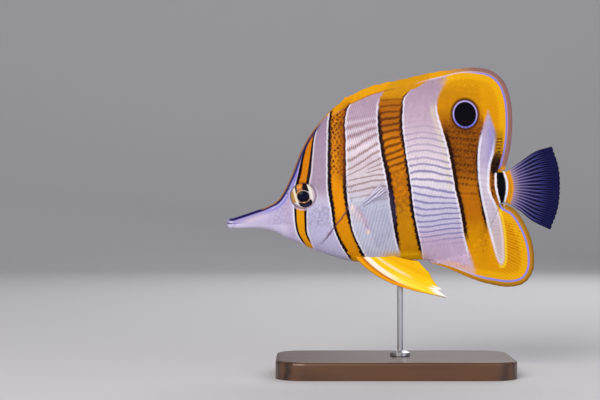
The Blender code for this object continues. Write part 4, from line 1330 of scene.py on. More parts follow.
    def fin(
        self, root: Array, soft_start: float, spiny: tuple, soft: tuple, spines: int, rays: int,
        rows: int, root_half: Array,
    ) -> tuple[Array, Array, Array, Array]:
        """Lays out a median fin on its root.

        Args:
            root: Places of the root's columns, from front to rear.
            soft_start: Where the soft rays begin.
            spiny: Margin of the spiny part.
            soft: Margin of the soft part.
            spines: How many spines there are.
            rays: How many soft rays there are.
            rows: Rows from the root to the margin.
            root_half: Half thickness of the flesh at the root.

        Returns:
            The grid in the side view, its half thickness, the ray field and the fin field.
        """
        run = np.concatenate([[0.0], np.cumsum(np.linalg.norm(np.diff(root, axis=0), axis=1))])
        at = float(np.interp(soft_start, root[:, 0], run))
        front = np.clip(run / at, 0.0, 1.0)
        rear = np.clip((run - at) / (run[-1] - at), 0.0, 1.0)
        margin = respaced(spline(spiny, 160), front)
        margin[run > at] = respaced(spline(soft, 260), rear[run > at])
        ray = np.where(run <= at, front * spines - spines, rear * rays)
        crest = 1 - 2 * np.abs(ray - np.floor(ray) - 0.5)
        depth = np.where(run <= at, self.spiny_notch * (1 - 0.8 * front), self.soft_notch)
        hollow = (1 - crest) ** 1.4 * np.clip(run / 3.0, 0, 1) * np.clip((run[-1] - run) / 3.0, 0, 1)
        margin = margin + (root - margin) * (depth * hollow)[:, None]
        v = 1 - (1 - np.linspace(0.0, 1.0, rows)) ** 1.35
        grid = root[:, None] + (margin - root)[:, None] * v[None, :, None] * 0.998
        height = np.linalg.norm(margin - root, axis=1)
        ends = np.sqrt(np.clip(run / 1.4, 0, 1)) * np.sqrt(np.clip((run[-1] - run) / 1.4, 0, 1))
        round_edge = np.sqrt(np.clip(1 - v**18, 0.0, 1.0))
        thin = self.margin_half * ends[:, None]
        membrane = thin + (root_half[:, None] - thin) * (1 - v) ** 1.6
        rise = np.clip(v * 6, 0, 1) * (1 - 0.45 * v)
        ridge = self.ridge * np.exp(-(((1 - crest) / 0.5) ** 2))[:, None] * rise[None, :] * ends[:, None]
        half = (membrane + ridge) * round_edge[None, :]
        half[:, -1] = 0.0
        half[0, 1:] = 0.0
        half[-1, 1:] = 0.0
        share_out = v[None, :] * np.clip(height / 6, 0, 1)[:, None]
        return grid, half, np.broadcast_to(ray[:, None], half.shape), share_out

    def assemble(self, grid: Array, half: Array, dorsal: tuple, anal: tuple) -> bpy.types.Object:
        """Joins both flanks of the body and its two fins into one mesh.

        Args:
            grid: The body's places in the side view.
            half: Their half thickness.
            dorsal: The dorsal fin's columns on the body, its row there, its grid, half thickness and fields.
            anal: The same for the anal fin.

        Returns:
            The finished object.
        """
        places, halves = [grid.reshape(-1, 2)], [half.ravel()]
        rays, fins = [np.zeros(half.size)], [np.zeros(half.size)]
        index = np.arange(half.size).reshape(half.shape)
        grids = [index]
        offset = half.size
        for columns, row, fin_grid, fin_half, ray, fin in (dorsal, anal):
            own = np.arange(fin_half[:, 1:].size).reshape(fin_half[:, 1:].shape) + offset
            offset += own.size
            grids.append(np.hstack([index[columns, row][:, None], own]))
            places.append(fin_grid[:, 1:].reshape(-1, 2))
            for parts, values in ((halves, fin_half), (rays, ray), (fins, fin)):
                parts.append(values[:, 1:].ravel())
        flat = np.vstack(places)
        thick = np.concatenate(halves)
        rim = thick < 1e-6
        middle = PLAN.sway(flat[:, 0])
        left = PLAN.world(flat[:, 0], flat[:, 1], middle - thick)
        right = PLAN.world(flat[~rim, 0], flat[~rim, 1], (middle + thick)[~rim])
        points = np.vstack([left, right])
        faces, sides = both_sides(grids, rim)
        mesh = closed_mesh("skin", points, faces.tolist())
        values = MARKINGS.fields(*flat.T, *flat.T) | {
            F.RAY: np.concatenate(rays), F.FIN: np.concatenate(fins),
            F.TONE: np.full(len(flat), 0.5), F.DOT: np.full(len(flat), 0.5),
        }
        store(mesh, {name: np.concatenate([value, value[~rim]]) for name, value in values.items()})
        corners = read_all(mesh.loops, "vertex_index")
        store_bake_map(mesh, unrolled(points)[corners], np.repeat(sides, 4) > 0)
        mesh.materials.append(FishSkinFinish().build())
        return new_object("skin", mesh)


# Share of the bake map's height that one flank takes, and the gap round it
MAP_HALF = 0.49
MAP_GAP = 0.005


def store_bake_map(mesh: bpy.types.Mesh, places: Array, on_right: Any) -> None:
    """Stores the bake map, with the left flank in its lower half and the right flank in the upper.

    Args:
        mesh: The mesh to unwrap.
        places: The place of each corner on a flank's unrolled shape.
        on_right: True for the corners on the right flank.
    """
    start = np.where(on_right, 0.5 + MAP_GAP, MAP_GAP)
    uv = np.stack([places[:, 0], places[:, 1] * MAP_HALF + start], axis=1)
    mesh.uv_layers.new(name="OFBake").data.foreach_set("uv", uv.astype(np.float32).ravel())


def unrolled(points: Array) -> Array:
    """Place of each point on the flank's unrolled shape.

    Args:
        points: World places on the skin.

    Returns:
        For each, a share along the fish and a share of its unrolled height, both from 0 to 1.
    """
    back, up = PLAN.own(points)
    levels = np.linspace(-36.0, 78.0, 39)
    stations = np.linspace(0.0, 156.0, 53)
    grid_back, grid_up = np.meshgrid(stations, levels, indexing="ij")
    inside = np.clip(grid_up, PLAN.bottom(grid_back), PLAN.top(grid_back))
    half = PLAN.flesh(np.clip(grid_back, 0.95, 141).ravel(), inside.ravel()).reshape(grid_back.shape)
    rise = np.hypot(np.diff(grid_up, axis=1), np.diff(half, axis=1))
    heights = np.concatenate([np.zeros((len(stations), 1)), np.cumsum(rise, axis=1)], axis=1)
    # Heights count from the level of the eye
    heights -= heights[:, [13]]
    place = (up - levels[0]) / (levels[1] - levels[0])
    j = np.clip(place.astype(int), 0, len(levels) - 2)
    t = np.clip(place - j, 0, 1)
    column = (back - stations[0]) / (stations[1] - stations[0])
    i = np.clip(column.astype(int), 0, len(stations) - 2)
    s = np.clip(column - i, 0, 1)
    height = (1 - s) * ((1 - t) * heights[i, j] + t * heights[i, j + 1])
    height += s * ((1 - t) * heights[i + 1, j] + t * heights[i + 1, j + 1])
    return np.stack([0.01 + back / 160.0, (height + 44.0) / 140.0], axis=1)


@dataclass
class ScaleCoat:
    """Overlapping scales on one flank, laid out in rows and made by Geometry Nodes."""

    side: Side
    skin: bpy.types.Object
    scale_length: float = 3.6
    scale_width: float = 4.1
    head_share: float = 0.5
    first_back: float = 26.0
    last_back: float = 142.0
    # How far the scales keep from the eye and from the free edges of the back and the belly
    eye_clear: float = 1.3
    back_clear: float = 1.5
    belly_clear: float = 1.2
    # Thinnest flesh that carries a scale
    thinnest: float = 0.2
    # Size of a scale's own patch in the bake map
    patch: float = 0.003

    def scale_form(self) -> bpy.types.Object:
        """Makes one scale, about 1 unit long and wide: a thin cupped plate with a round free edge.

        Returns:
            The object that is repeated.
        """
        along = (-0.42, -0.15, 0.12, 0.38, 0.58)
        across = (-0.5, -0.26, 0.0, 0.26, 0.5)
        sunk_root, edge, core = -0.1, 0.016, -0.12
        points, plate = [], []
        for x in along:
            for y in across:
                free = max(0.0, (x + 0.15) / 0.73)
                narrow = math.sqrt(max(0.0, 1 - 0.62 * free**2.4)) * (0.8 if x < -0.3 else 1.0)
                cupped = 0.014 + 0.04 * (x + 0.1) - 0.05 * y * y
                place = (x - 0.96 * free * y * y, y * narrow)
                points.append((*place, sunk_root if x == along[0] else cupped))
                plate.append((*place, 0.0))
        index = np.arange(len(points)).reshape(len(along), len(across))
        faces = quads_of(index).tolist()
        border = np.concatenate([index[0, ::-1], index[1:, 0], index[-1, 1:], index[-2:0:-1, -1]]).tolist()
        # The free edge is a little thick: a sunk copy of the border closes the plate
        first = len(points)
        centre = first + len(border)
        for x, y, z in [points[corner] for corner in border]:
            points.append((x * 0.985, y * 0.985, z - edge))
            plate.append((x, y, 0.0))
        points.append((0.0, 0.0, core))
        plate.append((0.0, 0.0, 0.0))
        for k, corner in enumerate(border):
            following = (k + 1) % len(border)
            faces.append([border[following], corner, first + k, first + following])
            faces.append([first + following, first + k, centre])
        mesh = closed_mesh("scale_form", points, faces)
        mesh.set_sharp_from_angle(angle=math.radians(35.0))
        store(mesh, {"plate": plate})
        return new_object("scale_form", mesh)

    def layout(self) -> tuple[Array, Array]:
        """Side-view places of the scales' roots.

        Returns:
            The places, and the size of the scale on each as a share of a full one.
        """
        rows = MARKINGS.rows
        gill = spline(PLAN.gill_line, 60)
        places, sizes = [], []
        # Full rows on the trunk, and closer ones on the head
        for share, numbers in ((1.0, range(-22, 20)), (self.head_share, range(-30, 30))):
            for number in numbers:
                spacing = rows.spacing * share
                backs = np.arange(self.first_back, self.last_back, spacing) + (number % 2) * spacing / 2
                row = np.full(len(backs), float(number * share))
                ups = rows.up(row, backs)
                edge = np.interp(-ups, -gill[:, 1], gill[:, 0]) + 0.5
                edge = np.where(ups > 27, 58.6 - (ups - 27) * 0.12, edge)
                bar = np.asarray(MARKINGS.second_bar)
                edge = np.where(ups < 3, np.maximum(edge, smoothed(ups, bar[:, 0], bar[:, 1])), edge)
                trunk = backs > edge
                kept = trunk if share == 1.0 else ~trunk
                # Two rows end behind the gill opening
                if 0.3 < number * share < 2.7:
                    kept &= backs > 69
                places.append(np.stack([backs, ups], axis=1)[kept])
                sizes.append(np.full(int(kept.sum()), share))
        spots = np.vstack(places)
        size = np.concatenate(sizes)
        back, up = spots[:, 0], spots[:, 1]
        eye = np.hypot(back - PLAN.eye_centre[0], up - PLAN.eye_centre[1])
        top_room = PLAN.top(back) - up
        bottom_room = up - PLAN.bottom(back)
        fin_top = PLAN.dorsal_share(back) > 0.5
        fin_bottom = PLAN.anal_share(back) > 0.5
        # They run out over the roots of the fins
        top_reach = np.interp(back, (58, 98, 112, 130, 137), (1.0, 2.0, 9.0, 9.0, 3.0))
        bottom_reach = np.interp(back, (100, 108, 120, 137), (0.5, 2.0, 9.0, 6.0))
        kept = top_room > np.where(fin_top, -top_reach, self.back_clear)
        kept &= bottom_room > np.where(fin_bottom, -bottom_reach, self.belly_clear)
        kept &= (eye > PLAN.eye_radius + self.eye_clear) & (back < 139.5)
        kept &= ~((size < 1) & (back < 33) & (up < 3))
        # They are smaller towards the snout, over the fins' roots and beside free edges
        off_snout = eased(self.first_back, 34.0, back + np.minimum(up, 10.0) * 0.3)
        size = size * np.where(size < 1, 0.4 + 0.6 * off_snout, 1.0)
        for on_fin, room, reach in ((fin_top, top_room, top_reach), (fin_bottom, bottom_room, bottom_reach)):
            size = size * np.where(on_fin, 0.5 + 0.5 * np.clip((room + reach) / (reach + 3), 0, 1), 1.0)
        free = np.minimum(np.where(fin_top, 9.0, top_room), np.where(fin_bottom, 9.0, bottom_room))
        return spots[kept], (size * (0.7 + 0.3 * np.clip(free / 5.0, 0.0, 1.0)))[kept]

    def roots(self) -> bpy.types.Object:
        """Makes a mesh with a point on the skin for each scale.

        Returns:
            The object, with the lie, size and tone of each scale stored on its point.
        """
        spots, size = self.layout()
        sign = self.side.value
        flesh = self.skin.data
        tree = BVHTree.FromPolygons(
            [vertex.co.copy() for vertex in flesh.vertices], [tuple(face.vertices) for face in flesh.polygons]
        )
        starts = PLAN.world(spots[:, 0], spots[:, 1], np.full(len(spots), sign * 40.0))
        found, normals, kept = [], [], []
        for number, start in enumerate(starts):
            place, normal, _, _ = tree.ray_cast(Vector(start), Vector((0.0, -float(sign), 0.0)))
            if place is None or (place.y - PLAN.sway(spots[number, 0]) * MM) * sign <= self.thinnest * MM:
                continue
            found.append(tuple(place))
            normals.append(tuple(normal))
            kept.append(number)
        spots, size = spots[kept], size[kept]
        # A scale lies along its row, square to the skin's normal
        step = 0.5
        rows = MARKINGS.rows
        ahead = rows.up(rows.row(spots[:, 0], spots[:, 1]), spots[:, 0] + step) - spots[:, 1]
        normal = np.asarray(normals)
        none = np.zeros(len(spots))
        lie = np.column_stack([none + step, none, ahead])
        lie -= normal * np.sum(lie * normal, axis=1)[:, None]
        lie /= np.linalg.norm(lie, axis=1)[:, None]
        chance = np.random.default_rng(PATTERN_SEED + sign)
        mesh = bpy.data.meshes.new("scale_roots")
        mesh.from_pydata(found, [], [])
        store(mesh, {
            "skin_normal": normal, "lie": lie, "root": np.column_stack([spots, none]),
            "root_uv": np.column_stack([unrolled(np.asarray(found)), none]),
            "size": size, F.TONE: chance.uniform(0, 1, len(spots)),
        })
        return new_object("scale_roots", mesh)

    def tree(self, material: bpy.types.Material) -> bpy.types.NodeTree:
        """Builds the tree that lays a scale on each root.

        Args:
            material: The scales' finish.

        Returns:
            The Geometry Nodes tree, with its sizes as named inputs.
        """
        tree = bpy.data.node_groups.new("lay_scales_" + self.side.word, "GeometryNodeTree")
        for name, kind in (
            ("Geometry", "NodeSocketGeometry"), ("Scale form", "NodeSocketObject"),
            ("Scale length", "NodeSocketFloat"), ("Scale width", "NodeSocketFloat"),
        ):
            tree.interface.new_socket(name, in_out="INPUT", socket_type=kind)
        tree.interface.new_socket("Geometry", in_out="OUTPUT", socket_type="NodeSocketGeometry")
        given = tree.nodes.new("NodeGroupInput").outputs
        read = {}
        for name, kind in (("skin_normal", "FLOAT_VECTOR"), ("lie", "FLOAT_VECTOR"), ("size", "FLOAT")):
            node = add_node(tree, "GeometryNodeInputNamedAttribute", {"data_type": kind}, Name=name)
            read[name] = node.outputs["Attribute"]
        turn = add_node(
            tree, "FunctionNodeAxesToRotation", {"primary_axis": "Z", "secondary_axis": "X"},
            Primary_Axis=read["skin_normal"], Secondary_Axis=read["lie"],
        )
        size = add_node(
            tree, "ShaderNodeCombineXYZ", X=given["Scale length"], Y=given["Scale width"],
            Z=given["Scale length"],
        )
        sized = add_node(
            tree, "ShaderNodeVectorMath", {"operation": "SCALE"}, in0=size.outputs[0], Scale=read["size"]
        )
        form = add_node(tree, "GeometryNodeObjectInfo", Object=given["Scale form"])
        laid = add_node(
            tree, "GeometryNodeInstanceOnPoints", Points=given["Geometry"], Instance=form.outputs["Geometry"],
            Rotation=turn.outputs[0], Scale=sized.outputs[0],
        )
        real = add_node(tree, "GeometryNodeRealizeInstances", Geometry=laid.outputs[0])
        dressed = add_node(tree, "GeometryNodeSetMaterial", Geometry=real.outputs[0], Material=material)
        result = tree.nodes.new("NodeGroupOutput")
        tree.links.new(dressed.outputs[0], result.inputs[0])
        return tree

    def build(self, material: bpy.types.Material) -> bpy.types.Object:
        """Lays the scales and makes them one plain mesh.

        Args:
            material: The scales' finish.

        Returns:
            The finished object.
        """
        form = self.scale_form()
        points = self.roots()
        tree = self.tree(material)
        modifier = points.modifiers.new("lay scales", "NODES")
        modifier.node_group = tree
        sizes = {
            "Scale form": form, "Scale length": self.scale_length * MM, "Scale width": self.scale_width * MM
        }
        for item in tree.interface.items_tree:
            if item.in_out == "INPUT" and item.name in sizes:
                modifier[item.identifier] = sizes[item.name]
        bpy.context.view_layer.update()
        graph = bpy.context.evaluated_depsgraph_get()
        mesh = bpy.data.meshes.new_from_object(points.evaluated_get(graph))
        mesh.name = "scales_" + self.side.word
        points.modifiers.clear()
        bpy.data.objects.remove(points)
        bpy.data.objects.remove(form)
        if not mesh.materials:
            mesh.materials.append(material)
        self.paint_scales(mesh)
        return new_object("scales_" + self.side.word, mesh)

    def paint_scales(self, mesh: bpy.types.Mesh) -> None:
        """Stores the fields and the bake map on the scales.

        Args:
            mesh: The mesh of all the scales, which carries each one's root and plate.
        """
        back, up = PLAN.own(read_all(mesh.vertices, "co", 3))
        root, root_uv, plate = (
            read_all(mesh.attributes[name].data, "vector", 3) for name in ("root", "root_uv", "plate")
        )
        values = MARKINGS.fields(back, up, root[:, 0], root[:, 1])
        values[F.ROW] = values[F.ROW] * 0.75 + MARKINGS.rows.row(root[:, 0], root[:, 1]) * 0.25
        values[F.DOT] = np.hypot((plate[:, 0] - 0.1) / 0.5, plate[:, 1] / 0.5)
        values[F.RAY] = values[F.FIN] = np.zeros(len(back))
        store(mesh, values)
        corners = read_all(mesh.loops, "vertex_index")
        places = root_uv[:, :2] + plate[:, :2] * (self.patch, self.patch / MAP_HALF)
        store_bake_map(mesh, places[corners], self.side is Side.RIGHT)


@dataclass(frozen=True)
class IrisPatch:
    """A patch of the iris, outlined in millimetres from the middle of the eye."""

    colour: str
    outline: tuple
    soft: float = 0.3
    strength: float = 1.0


@dataclass(frozen=True)
class EyeFinish:
    """A wet fish eye: a clear cornea over a silver and gold iris, crossed by the eye bar."""

    name: str
    iris: str = "#B4A9B2"
    patches: tuple = (
        # Tan and cream in front, cream and gold behind
        IrisPatch("#B98A4A", (
            (-6.25, 2.1), (-4.8, 2), (-4.5, -0.1), (-4.05, -2.1), (-3.1, -3.9), (-4.6, -3.9), (-5.8, -2.1),
            (-6.3, -0.1),
        )),
        IrisPatch("#E9DEC4", (
            (-5, 5), (-4, 4.7), (-3.9, 1.9), (-3.3, -0.6), (-2.4, -2.8), (-1.1, -4.1), (-2, -4.5),
            (-3.5, -3.3), (-4.4, -1.1), (-4.9, 1.4), (-5.2, 3.9),
        )),
        IrisPatch("#F0E8DC", (
            (1.4, 6.2), (2.7, 5.7), (3.7, 4.3), (4.3, 2.4), (4.7, 0.4), (5.1, -1.6), (5.6, -3.2), (4.9, -4.1),
            (4.1, -2.9), (3.4, -1.4), (3.1, 0.6), (2.8, 2.5), (2, 4.6),
        )),
        IrisPatch("#D9C88A", (
            (3.7, 4.5), (4.5, 3.7), (5.3, 1.9), (5.5, 0.1), (5, -0.1), (4.7, 1.7), (3.9, 3.2),
        ), 0.3, 0.85),
        IrisPatch("#DED3DC", (
            (4.2, 4.3), (5.3, 2.9), (6.1, 0.9), (6.15, -1.1), (5.2, -3.5), (4.7, -2.8), (5.1, -0.8),
            (4.9, 1.2), (3.9, 3.3),
        )),
        IrisPatch("#F2EBF2", (
            (-4.2, -3.7), (-2.7, -4.4), (-2, -5.1), (-0.5, -5.9), (2, -5.7), (4.4, -4.6), (4.9, -4),
            (3.8, -4.1), (2.1, -5.3), (0.1, -5.6), (-1.4, -4.9), (-2, -3.7), (-3.4, -3.3),
        ), 0.4, 0.8),
        # The eye bar: its black front, its orange and its dark rear above, a dark crescent below
        IrisPatch("#D47E14", (
            (-3.3, 6.1), (-1.9, 6.6), (-0.4, 6.4), (-0.5, 4.9), (-0.8, 3.4), (-1.6, 2.7), (-2.7, 2.2),
            (-3.2, 3), (-3.4, 4.5),
        )),
        IrisPatch("#F0A63A", ((-2.9, 5.2), (-1.6, 5.4), (-1.2, 4.2), (-2.2, 3.4), (-3, 4)), 0.8, 0.6),
        IrisPatch("#0B0814", (
            (-3.85, 6.5), (-3.05, 5.9), (-3.45, 4.4), (-3.15, 2.6), (-2.3, 2), (-2.9, 0.6), (-3.8, 1.6),
            (-4.2, 3.6), (-4.4, 5.4),
        )),
        IrisPatch("#1B0C12", (
            (-0.55, 6.6), (1.45, 6.3), (1.95, 4.6), (2.75, 2.5), (2.1, 2.1), (1, 2.6), (-0.6, 2.8),
            (-1, 3.2), (-0.5, 4.7),
        )),
        IrisPatch("#140A12", (
            (-2.6, -3.2), (-1.6, -5), (0.1, -5.8), (2.3, -5.5), (4.1, -4.4), (4.6, -2.8), (3.8, -1.6),
            (3, -2.3), (2, -3.2), (0.6, -3.7), (-0.9, -3.6),
        )),
        IrisPatch("#6A2A08", (
            (-3.3, 2.9), (-2, 3.3), (-0.8, 3.7), (-0.5, 3), (-1.8, 2.6), (-3, 1.6), (-3.6, 2),
        ), 0.5, 0.7),
        # Ring of the iris round the pupil: tan above in front, brown below, with painted highlights of pale
        # cream where they meet and on the brown below the pupil
        IrisPatch("#C0834A", (
            (-3.6, 0.6), (-3.2, 1.6), (-2.4, 2.5), (-1.2, 3), (-0.2, 3.1), (-0.3, 2.2), (-1.5, 1.9),
            (-2.5, 1.2), (-3, 0.3),
        ), 0.2, 0.95),
        IrisPatch("#8E5A34", (
            (-2.7, -2.6), (-1.6, -3.3), (0, -3.75), (1.6, -3.4), (2.7, -2.2), (3.3, -1.2), (2.7, -0.8),
            (1.6, -2.2), (0, -2.8), (-1.6, -2.4),
        ), 0.2, 0.95),
        IrisPatch("#F4D2A8", (
            (-0.3, -3.1), (0.3, -2.8), (1, -2.7), (1.2, -3), (0.5, -3.5), (-0.1, -3.6),
        ), 0.2, 0.8),
        IrisPatch("#FFF6D0", (
            (-3.8, -2.6), (-3.4, -2.2), (-2.7, -2.6), (-2.9, -3.2), (-3.5, -3.2),
        ), 0.2, 0.9),
        # Painted highlight: a blue-grey line inside the dark crescent below the pupil
        IrisPatch("#4A3A6C", (
            (-0.2, -4.7), (2.1, -4.3), (3.2, -3.3), (3.3, -3.7), (2.1, -4.8), (0, -5.1),
        ), 0.3, 0.7),
    )

    def fields(self, right: Array, up: Array) -> dict[str, Array]:
        """Measures the eye's fields.

        Args:
            right: Millimetres behind the middle of the eye.
            up: Millimetres above it.

        Returns:
            The depth inside each patch, the distance from the pupil and that from the eye's middle.
        """
        places = np.stack([right, up], axis=1)
        values = {
            f"iris_{i}": depth_inside(np.asarray(patch.outline), places)
            for i, patch in enumerate(self.patches)
        }
        values["pupil"] = np.hypot((right + 0.05) / 3.0, (up + 0.35) / 2.7)
        values["limbus"] = np.hypot(right, up)
        return values

    def build(self) -> bpy.types.Material:
        """Makes the material.

        Returns:
            The material.
        """
        material, tree, shader = new_material(
            self.name, Roughness=0.3, Specular_IOR_Level=0.05, Coat_Weight=0.1, Coat_Roughness=0.03
        )
        painter = Painter(tree, linear(self.iris))
        for i, patch in enumerate(self.patches):
            painter.lay(tint(patch.colour, patch.strength, Where(f"iris_{i}", 0, 90, patch.soft)))
        painter.lay(
            tint("#9A88A2", 0.7, Where("limbus", 6.1, 6.6, 0.25)),
            tint("#03040C", 1, Where("pupil", -1, 1.02, 0.06)),
            tint("#060C30", 0.8, Where("pupil", -1, 0.6, 0.5)),
        )
        # Fine threads of the iris, about 0.3 mm apart
        threads = add_node(tree, "ShaderNodeTexNoise", Vector=painter.coords, Scale=3300.0, Detail=3.0)
        dim = add_node(tree, "ShaderNodeMapRange", Value=threads.outputs["Fac"], To_Min=0.7, To_Max=1.2)
        painter.blend(dim.outputs[0], 0.6, "MULTIPLY")
        feed(tree, shader, Base_Color=painter.colour)
        return material


@dataclass
class Eye:
    """One eye: a flattened ball that stands a little proud of the head."""

    side: Side
    rings: int = 72
    segments: int = 144
    clear_of_socket: float = 0.995

    def build(self) -> None:
        """Makes the eye, which replaces its solid."""
        plan = PLAN
        centre_back, centre_up = plan.eye_centre
        sign = self.side.value
        middle = sign * (plan.flank_at(centre_back, centre_up) - plan.eye_sunk)
        form = bmesh.new()
        bmesh.ops.create_uvsphere(form, u_segments=self.segments, v_segments=self.rings, radius=1.0)
        form.verts.index_update()
        faces = [[vertex.index for vertex in face.verts] for face in form.faces]
        ball = np.array([vertex.co[:] for vertex in form.verts])
        form.free()
        right, up, out = (ball * (plan.eye_radius, plan.eye_radius, plan.eye_depth) * self.clear_of_socket).T
        # The iris is a shallow dish and the pupil's lens bulges out of it
        reach = np.hypot(right + 0.1, (up + 0.3) * 1.1)
        dish = -0.35 * eased(5.9, 4.2, reach) + 0.35 * np.sqrt(np.clip(1 - (reach / 3.3) ** 2, 0, 1))
        out = out + np.where(out * sign > 0, dish * sign, 0.0)
        name = "eyeball_" + self.side.word
        mesh = closed_mesh(name, plan.world(right + centre_back, up + centre_up, out + middle), faces)
        finish = EyeFinish("fish_eye_" + self.side.word)
        store(mesh, finish.fields(right, up))
        mesh.materials.append(finish.build())
        ride(new_object(name, mesh), "eye_gloss", "eye_" + self.side.word)


@dataclass(frozen=True)
class FinFinish:
    """Thin fin membrane between rays of bone: clear or tinted, with paler rays that branch."""

    name: str
    membrane: tuple
    rays: tuple
    clear: bool
    ray_strength: float = 0.9

    def build(self) -> bpy.types.Material:
        """Makes the material. Its fields are reach along the fin, nearness to a ray, and cover.

        Returns:
            The material.
        """
        material, tree, shader = new_material(self.name, Roughness=0.45, Specular_IOR_Level=0.06)
        painter = Painter(tree)
        painter.colour, bone = (
            add_node(tree, "ShaderNodeValToRGB", stops=stops, Fac=painter.value("reach")).outputs[0]
            for stops in (self.membrane, self.rays)
        )
        # Uneven tint, patches about 2 mm across
        noise = add_node(tree, "ShaderNodeTexNoise", Vector=painter.coords, Scale=500.0, Detail=3.0)
        varied = add_node(tree, "ShaderNodeMapRange", Value=noise.outputs["Fac"], To_Min=0.72, To_Max=1.2)
        painter.blend(varied.outputs[0], 0.5, "MULTIPLY")
        painter.blend(bone, painter.share((), self.ray_strength, painter.value("on_ray")))
        feed(tree, shader, Base_Color=painter.colour)
        if self.clear:
            feed(tree, shader, Alpha=painter.value("cover"))
        return material


def sheet_mesh(name: str, centre: Array, half: Array, fields: dict[str, Array]) -> bpy.types.Mesh:
    """Makes a closed thin sheet from a grid of places.

    Args:
        name: The mesh's name.
        centre: The grid's places in the fish's millimetres, as back, side and up.
        half: Half the sheet's thickness at each.
        fields: Values at each place to store on the vertices.

    Returns:
        The mesh.
    """
    normal = np.cross(np.gradient(centre, axis=0), np.gradient(centre, axis=1))
    normal /= np.maximum(np.linalg.norm(normal, axis=2)[..., None], 1e-9)
    rim = np.ones(half.shape, bool)
    rim[1:-1, 1:-1] = False
    out = normal * np.where(rim, 0.0, half)[..., None]
    inner = ~rim.ravel()
    back, side, up = np.vstack([(centre - out).reshape(-1, 3), (centre + out).reshape(-1, 3)[inner]]).T
    faces, _ = both_sides([np.arange(half.size).reshape(half.shape)], ~inner)
    mesh = closed_mesh(name, PLAN.world(back, up, side), faces.tolist())
    for field, values in fields.items():
        flat = np.broadcast_to(values, half.shape).ravel()
        store(mesh, {field: np.concatenate([flat, flat[inner]])})
    return mesh


def off_ray(across: Array, rays: int) -> Array:
    """How far each place of a fan is from the nearest ray, from -0.5 to 0.5 of the distance between two."""
    return across * rays - np.floor(across * rays) - 0.5


def branching(across: Array, reach: Array, rays: int, forks: tuple[float, ...], width: float) -> Array:
    """How strongly each place of a fan lies on a ray, with rays that fork on their way out.

    Args:
        across: Share across the fan.
        reach: Share from the root to the margin.
        rays: How many rays leave the root.
        forks: Reaches at which every branch splits in two.
        width: Half a ray's width as a share of the distance between two at the root.

    Returns:
        1 on the middle of a ray, down to 0 beside it.
    """
    offset = off_ray(across, rays)
    apart = 0.25
    for fork in forks:
        spread = apart * eased(fork, min(fork + 0.3, 1.0), reach)
        offset = np.where(offset > 0, offset - spread, offset + spread)
        apart /= 2
    narrow = width * (1 - 0.5 * reach)
    return np.exp(-((offset / narrow) ** 2))


@dataclass
class TailFin:
    """The tail fin: a fan of forking rays in a deep blue membrane that lets light through."""

    margin: tuple = ((162, -4), (165.6, 6), (166.9, 17.2), (166, 28), (162.8, 38))
    lower_edge: tuple = ((139.6, 9.9), (146.5, 5.6), (153, 0.4), (162, -4))
    upper_edge: tuple = ((139.2, 24.7), (147, 30.3), (154.5, 35.4), (162.8, 38))
    rays: int = 17
    steps_per_ray: int = 14
    rows: int = 56
    forks: tuple = (0.48, 0.78)
    membrane_half: float = 0.2
    root_half: float = 1.8
    ray_rise: float = 0.16
    ripple: float = 0.35
    # Orange skin at the root, then blue that deepens to the margin, with paler rays
    membrane: tuple = (
        (0.0, "#E39A18"), (0.07, "#E39A18"), (0.11, "#8A7494"), (0.24, "#42386A"), (0.4, "#1C1844"),
        (0.65, "#0B0A26"), (1.0, "#0A0A28"),
    )
    ray_colours: tuple = (
        (0.0, "#E39A18"), (0.07, "#E39A18"), (0.11, "#BCACC2"), (0.35, "#8C84B8"), (0.62, "#44448C"),
        (0.82, "#1E1F5E"), (1.0, "#151648"),
    )

    def build(self) -> None:
        """Makes the tail fin, which replaces its solid."""
        across = np.linspace(0.0, 1.0, self.rays * self.steps_per_ray + 1)
        reach = np.linspace(0.0, 1.0, self.rows)[None, :]
        root = respaced(spline(PLAN.stalk_end, 60), across) + np.array([-0.6, 0.0])
        lower = respaced(spline(self.lower_edge, 60), reach[0])
        upper = respaced(spline(self.upper_edge, 60), reach[0])
        root += (lower[0] - root[0]) * (1 - across)[:, None] + (upper[0] - root[-1]) * across[:, None]
        margin = respaced(spline(self.margin, 120), across)
        # A patch between its four edges
        u, v = across[:, None, None], reach[:, :, None]
        flat = (1 - v) * root[:, None] + v * margin[:, None] + (1 - u) * lower[None] + u * upper[None]
        flat -= (1 - u) * ((1 - v) * root[0] + v * margin[0]) + u * ((1 - v) * root[-1] + v * margin[-1])
        on_ray = branching(across[:, None], reach, self.rays, self.forks, 0.17)
        notch = 0.012 * (np.abs(off_ray(across, self.rays)) * 2) ** 2
        flat = root[:, None] + (flat - root[:, None]) * (1 - notch[:, None, None] * v)
        thin = self.membrane_half
        round_root = np.sqrt(np.clip(1 - (2 * across - 1) ** 6, 0, 1))
        root_half = 0.3 + (self.root_half - 0.3) * round_root[:, None]
        half = thin + (root_half - thin) * (1 - reach) ** 3 + self.ray_rise * on_ray * (1 - 0.5 * reach)
        # The membrane ripples a little between the rays
        wave = self.ripple * np.sin(across * math.pi * 5)[:, None] * reach**2
        centre = np.stack([flat[..., 0], PLAN.sway(flat[..., 0]) + wave, flat[..., 1]], axis=-1)
        mesh = sheet_mesh("tail_fin", centre, half, {"reach": reach, "on_ray": on_ray})
        mesh.materials.append(
            FinFinish("tail_fin_membrane", self.membrane, self.ray_colours, False, 0.85).build()
        )
        ride(new_object("tail_fin", mesh), "clear_fin", "caudal_fin")


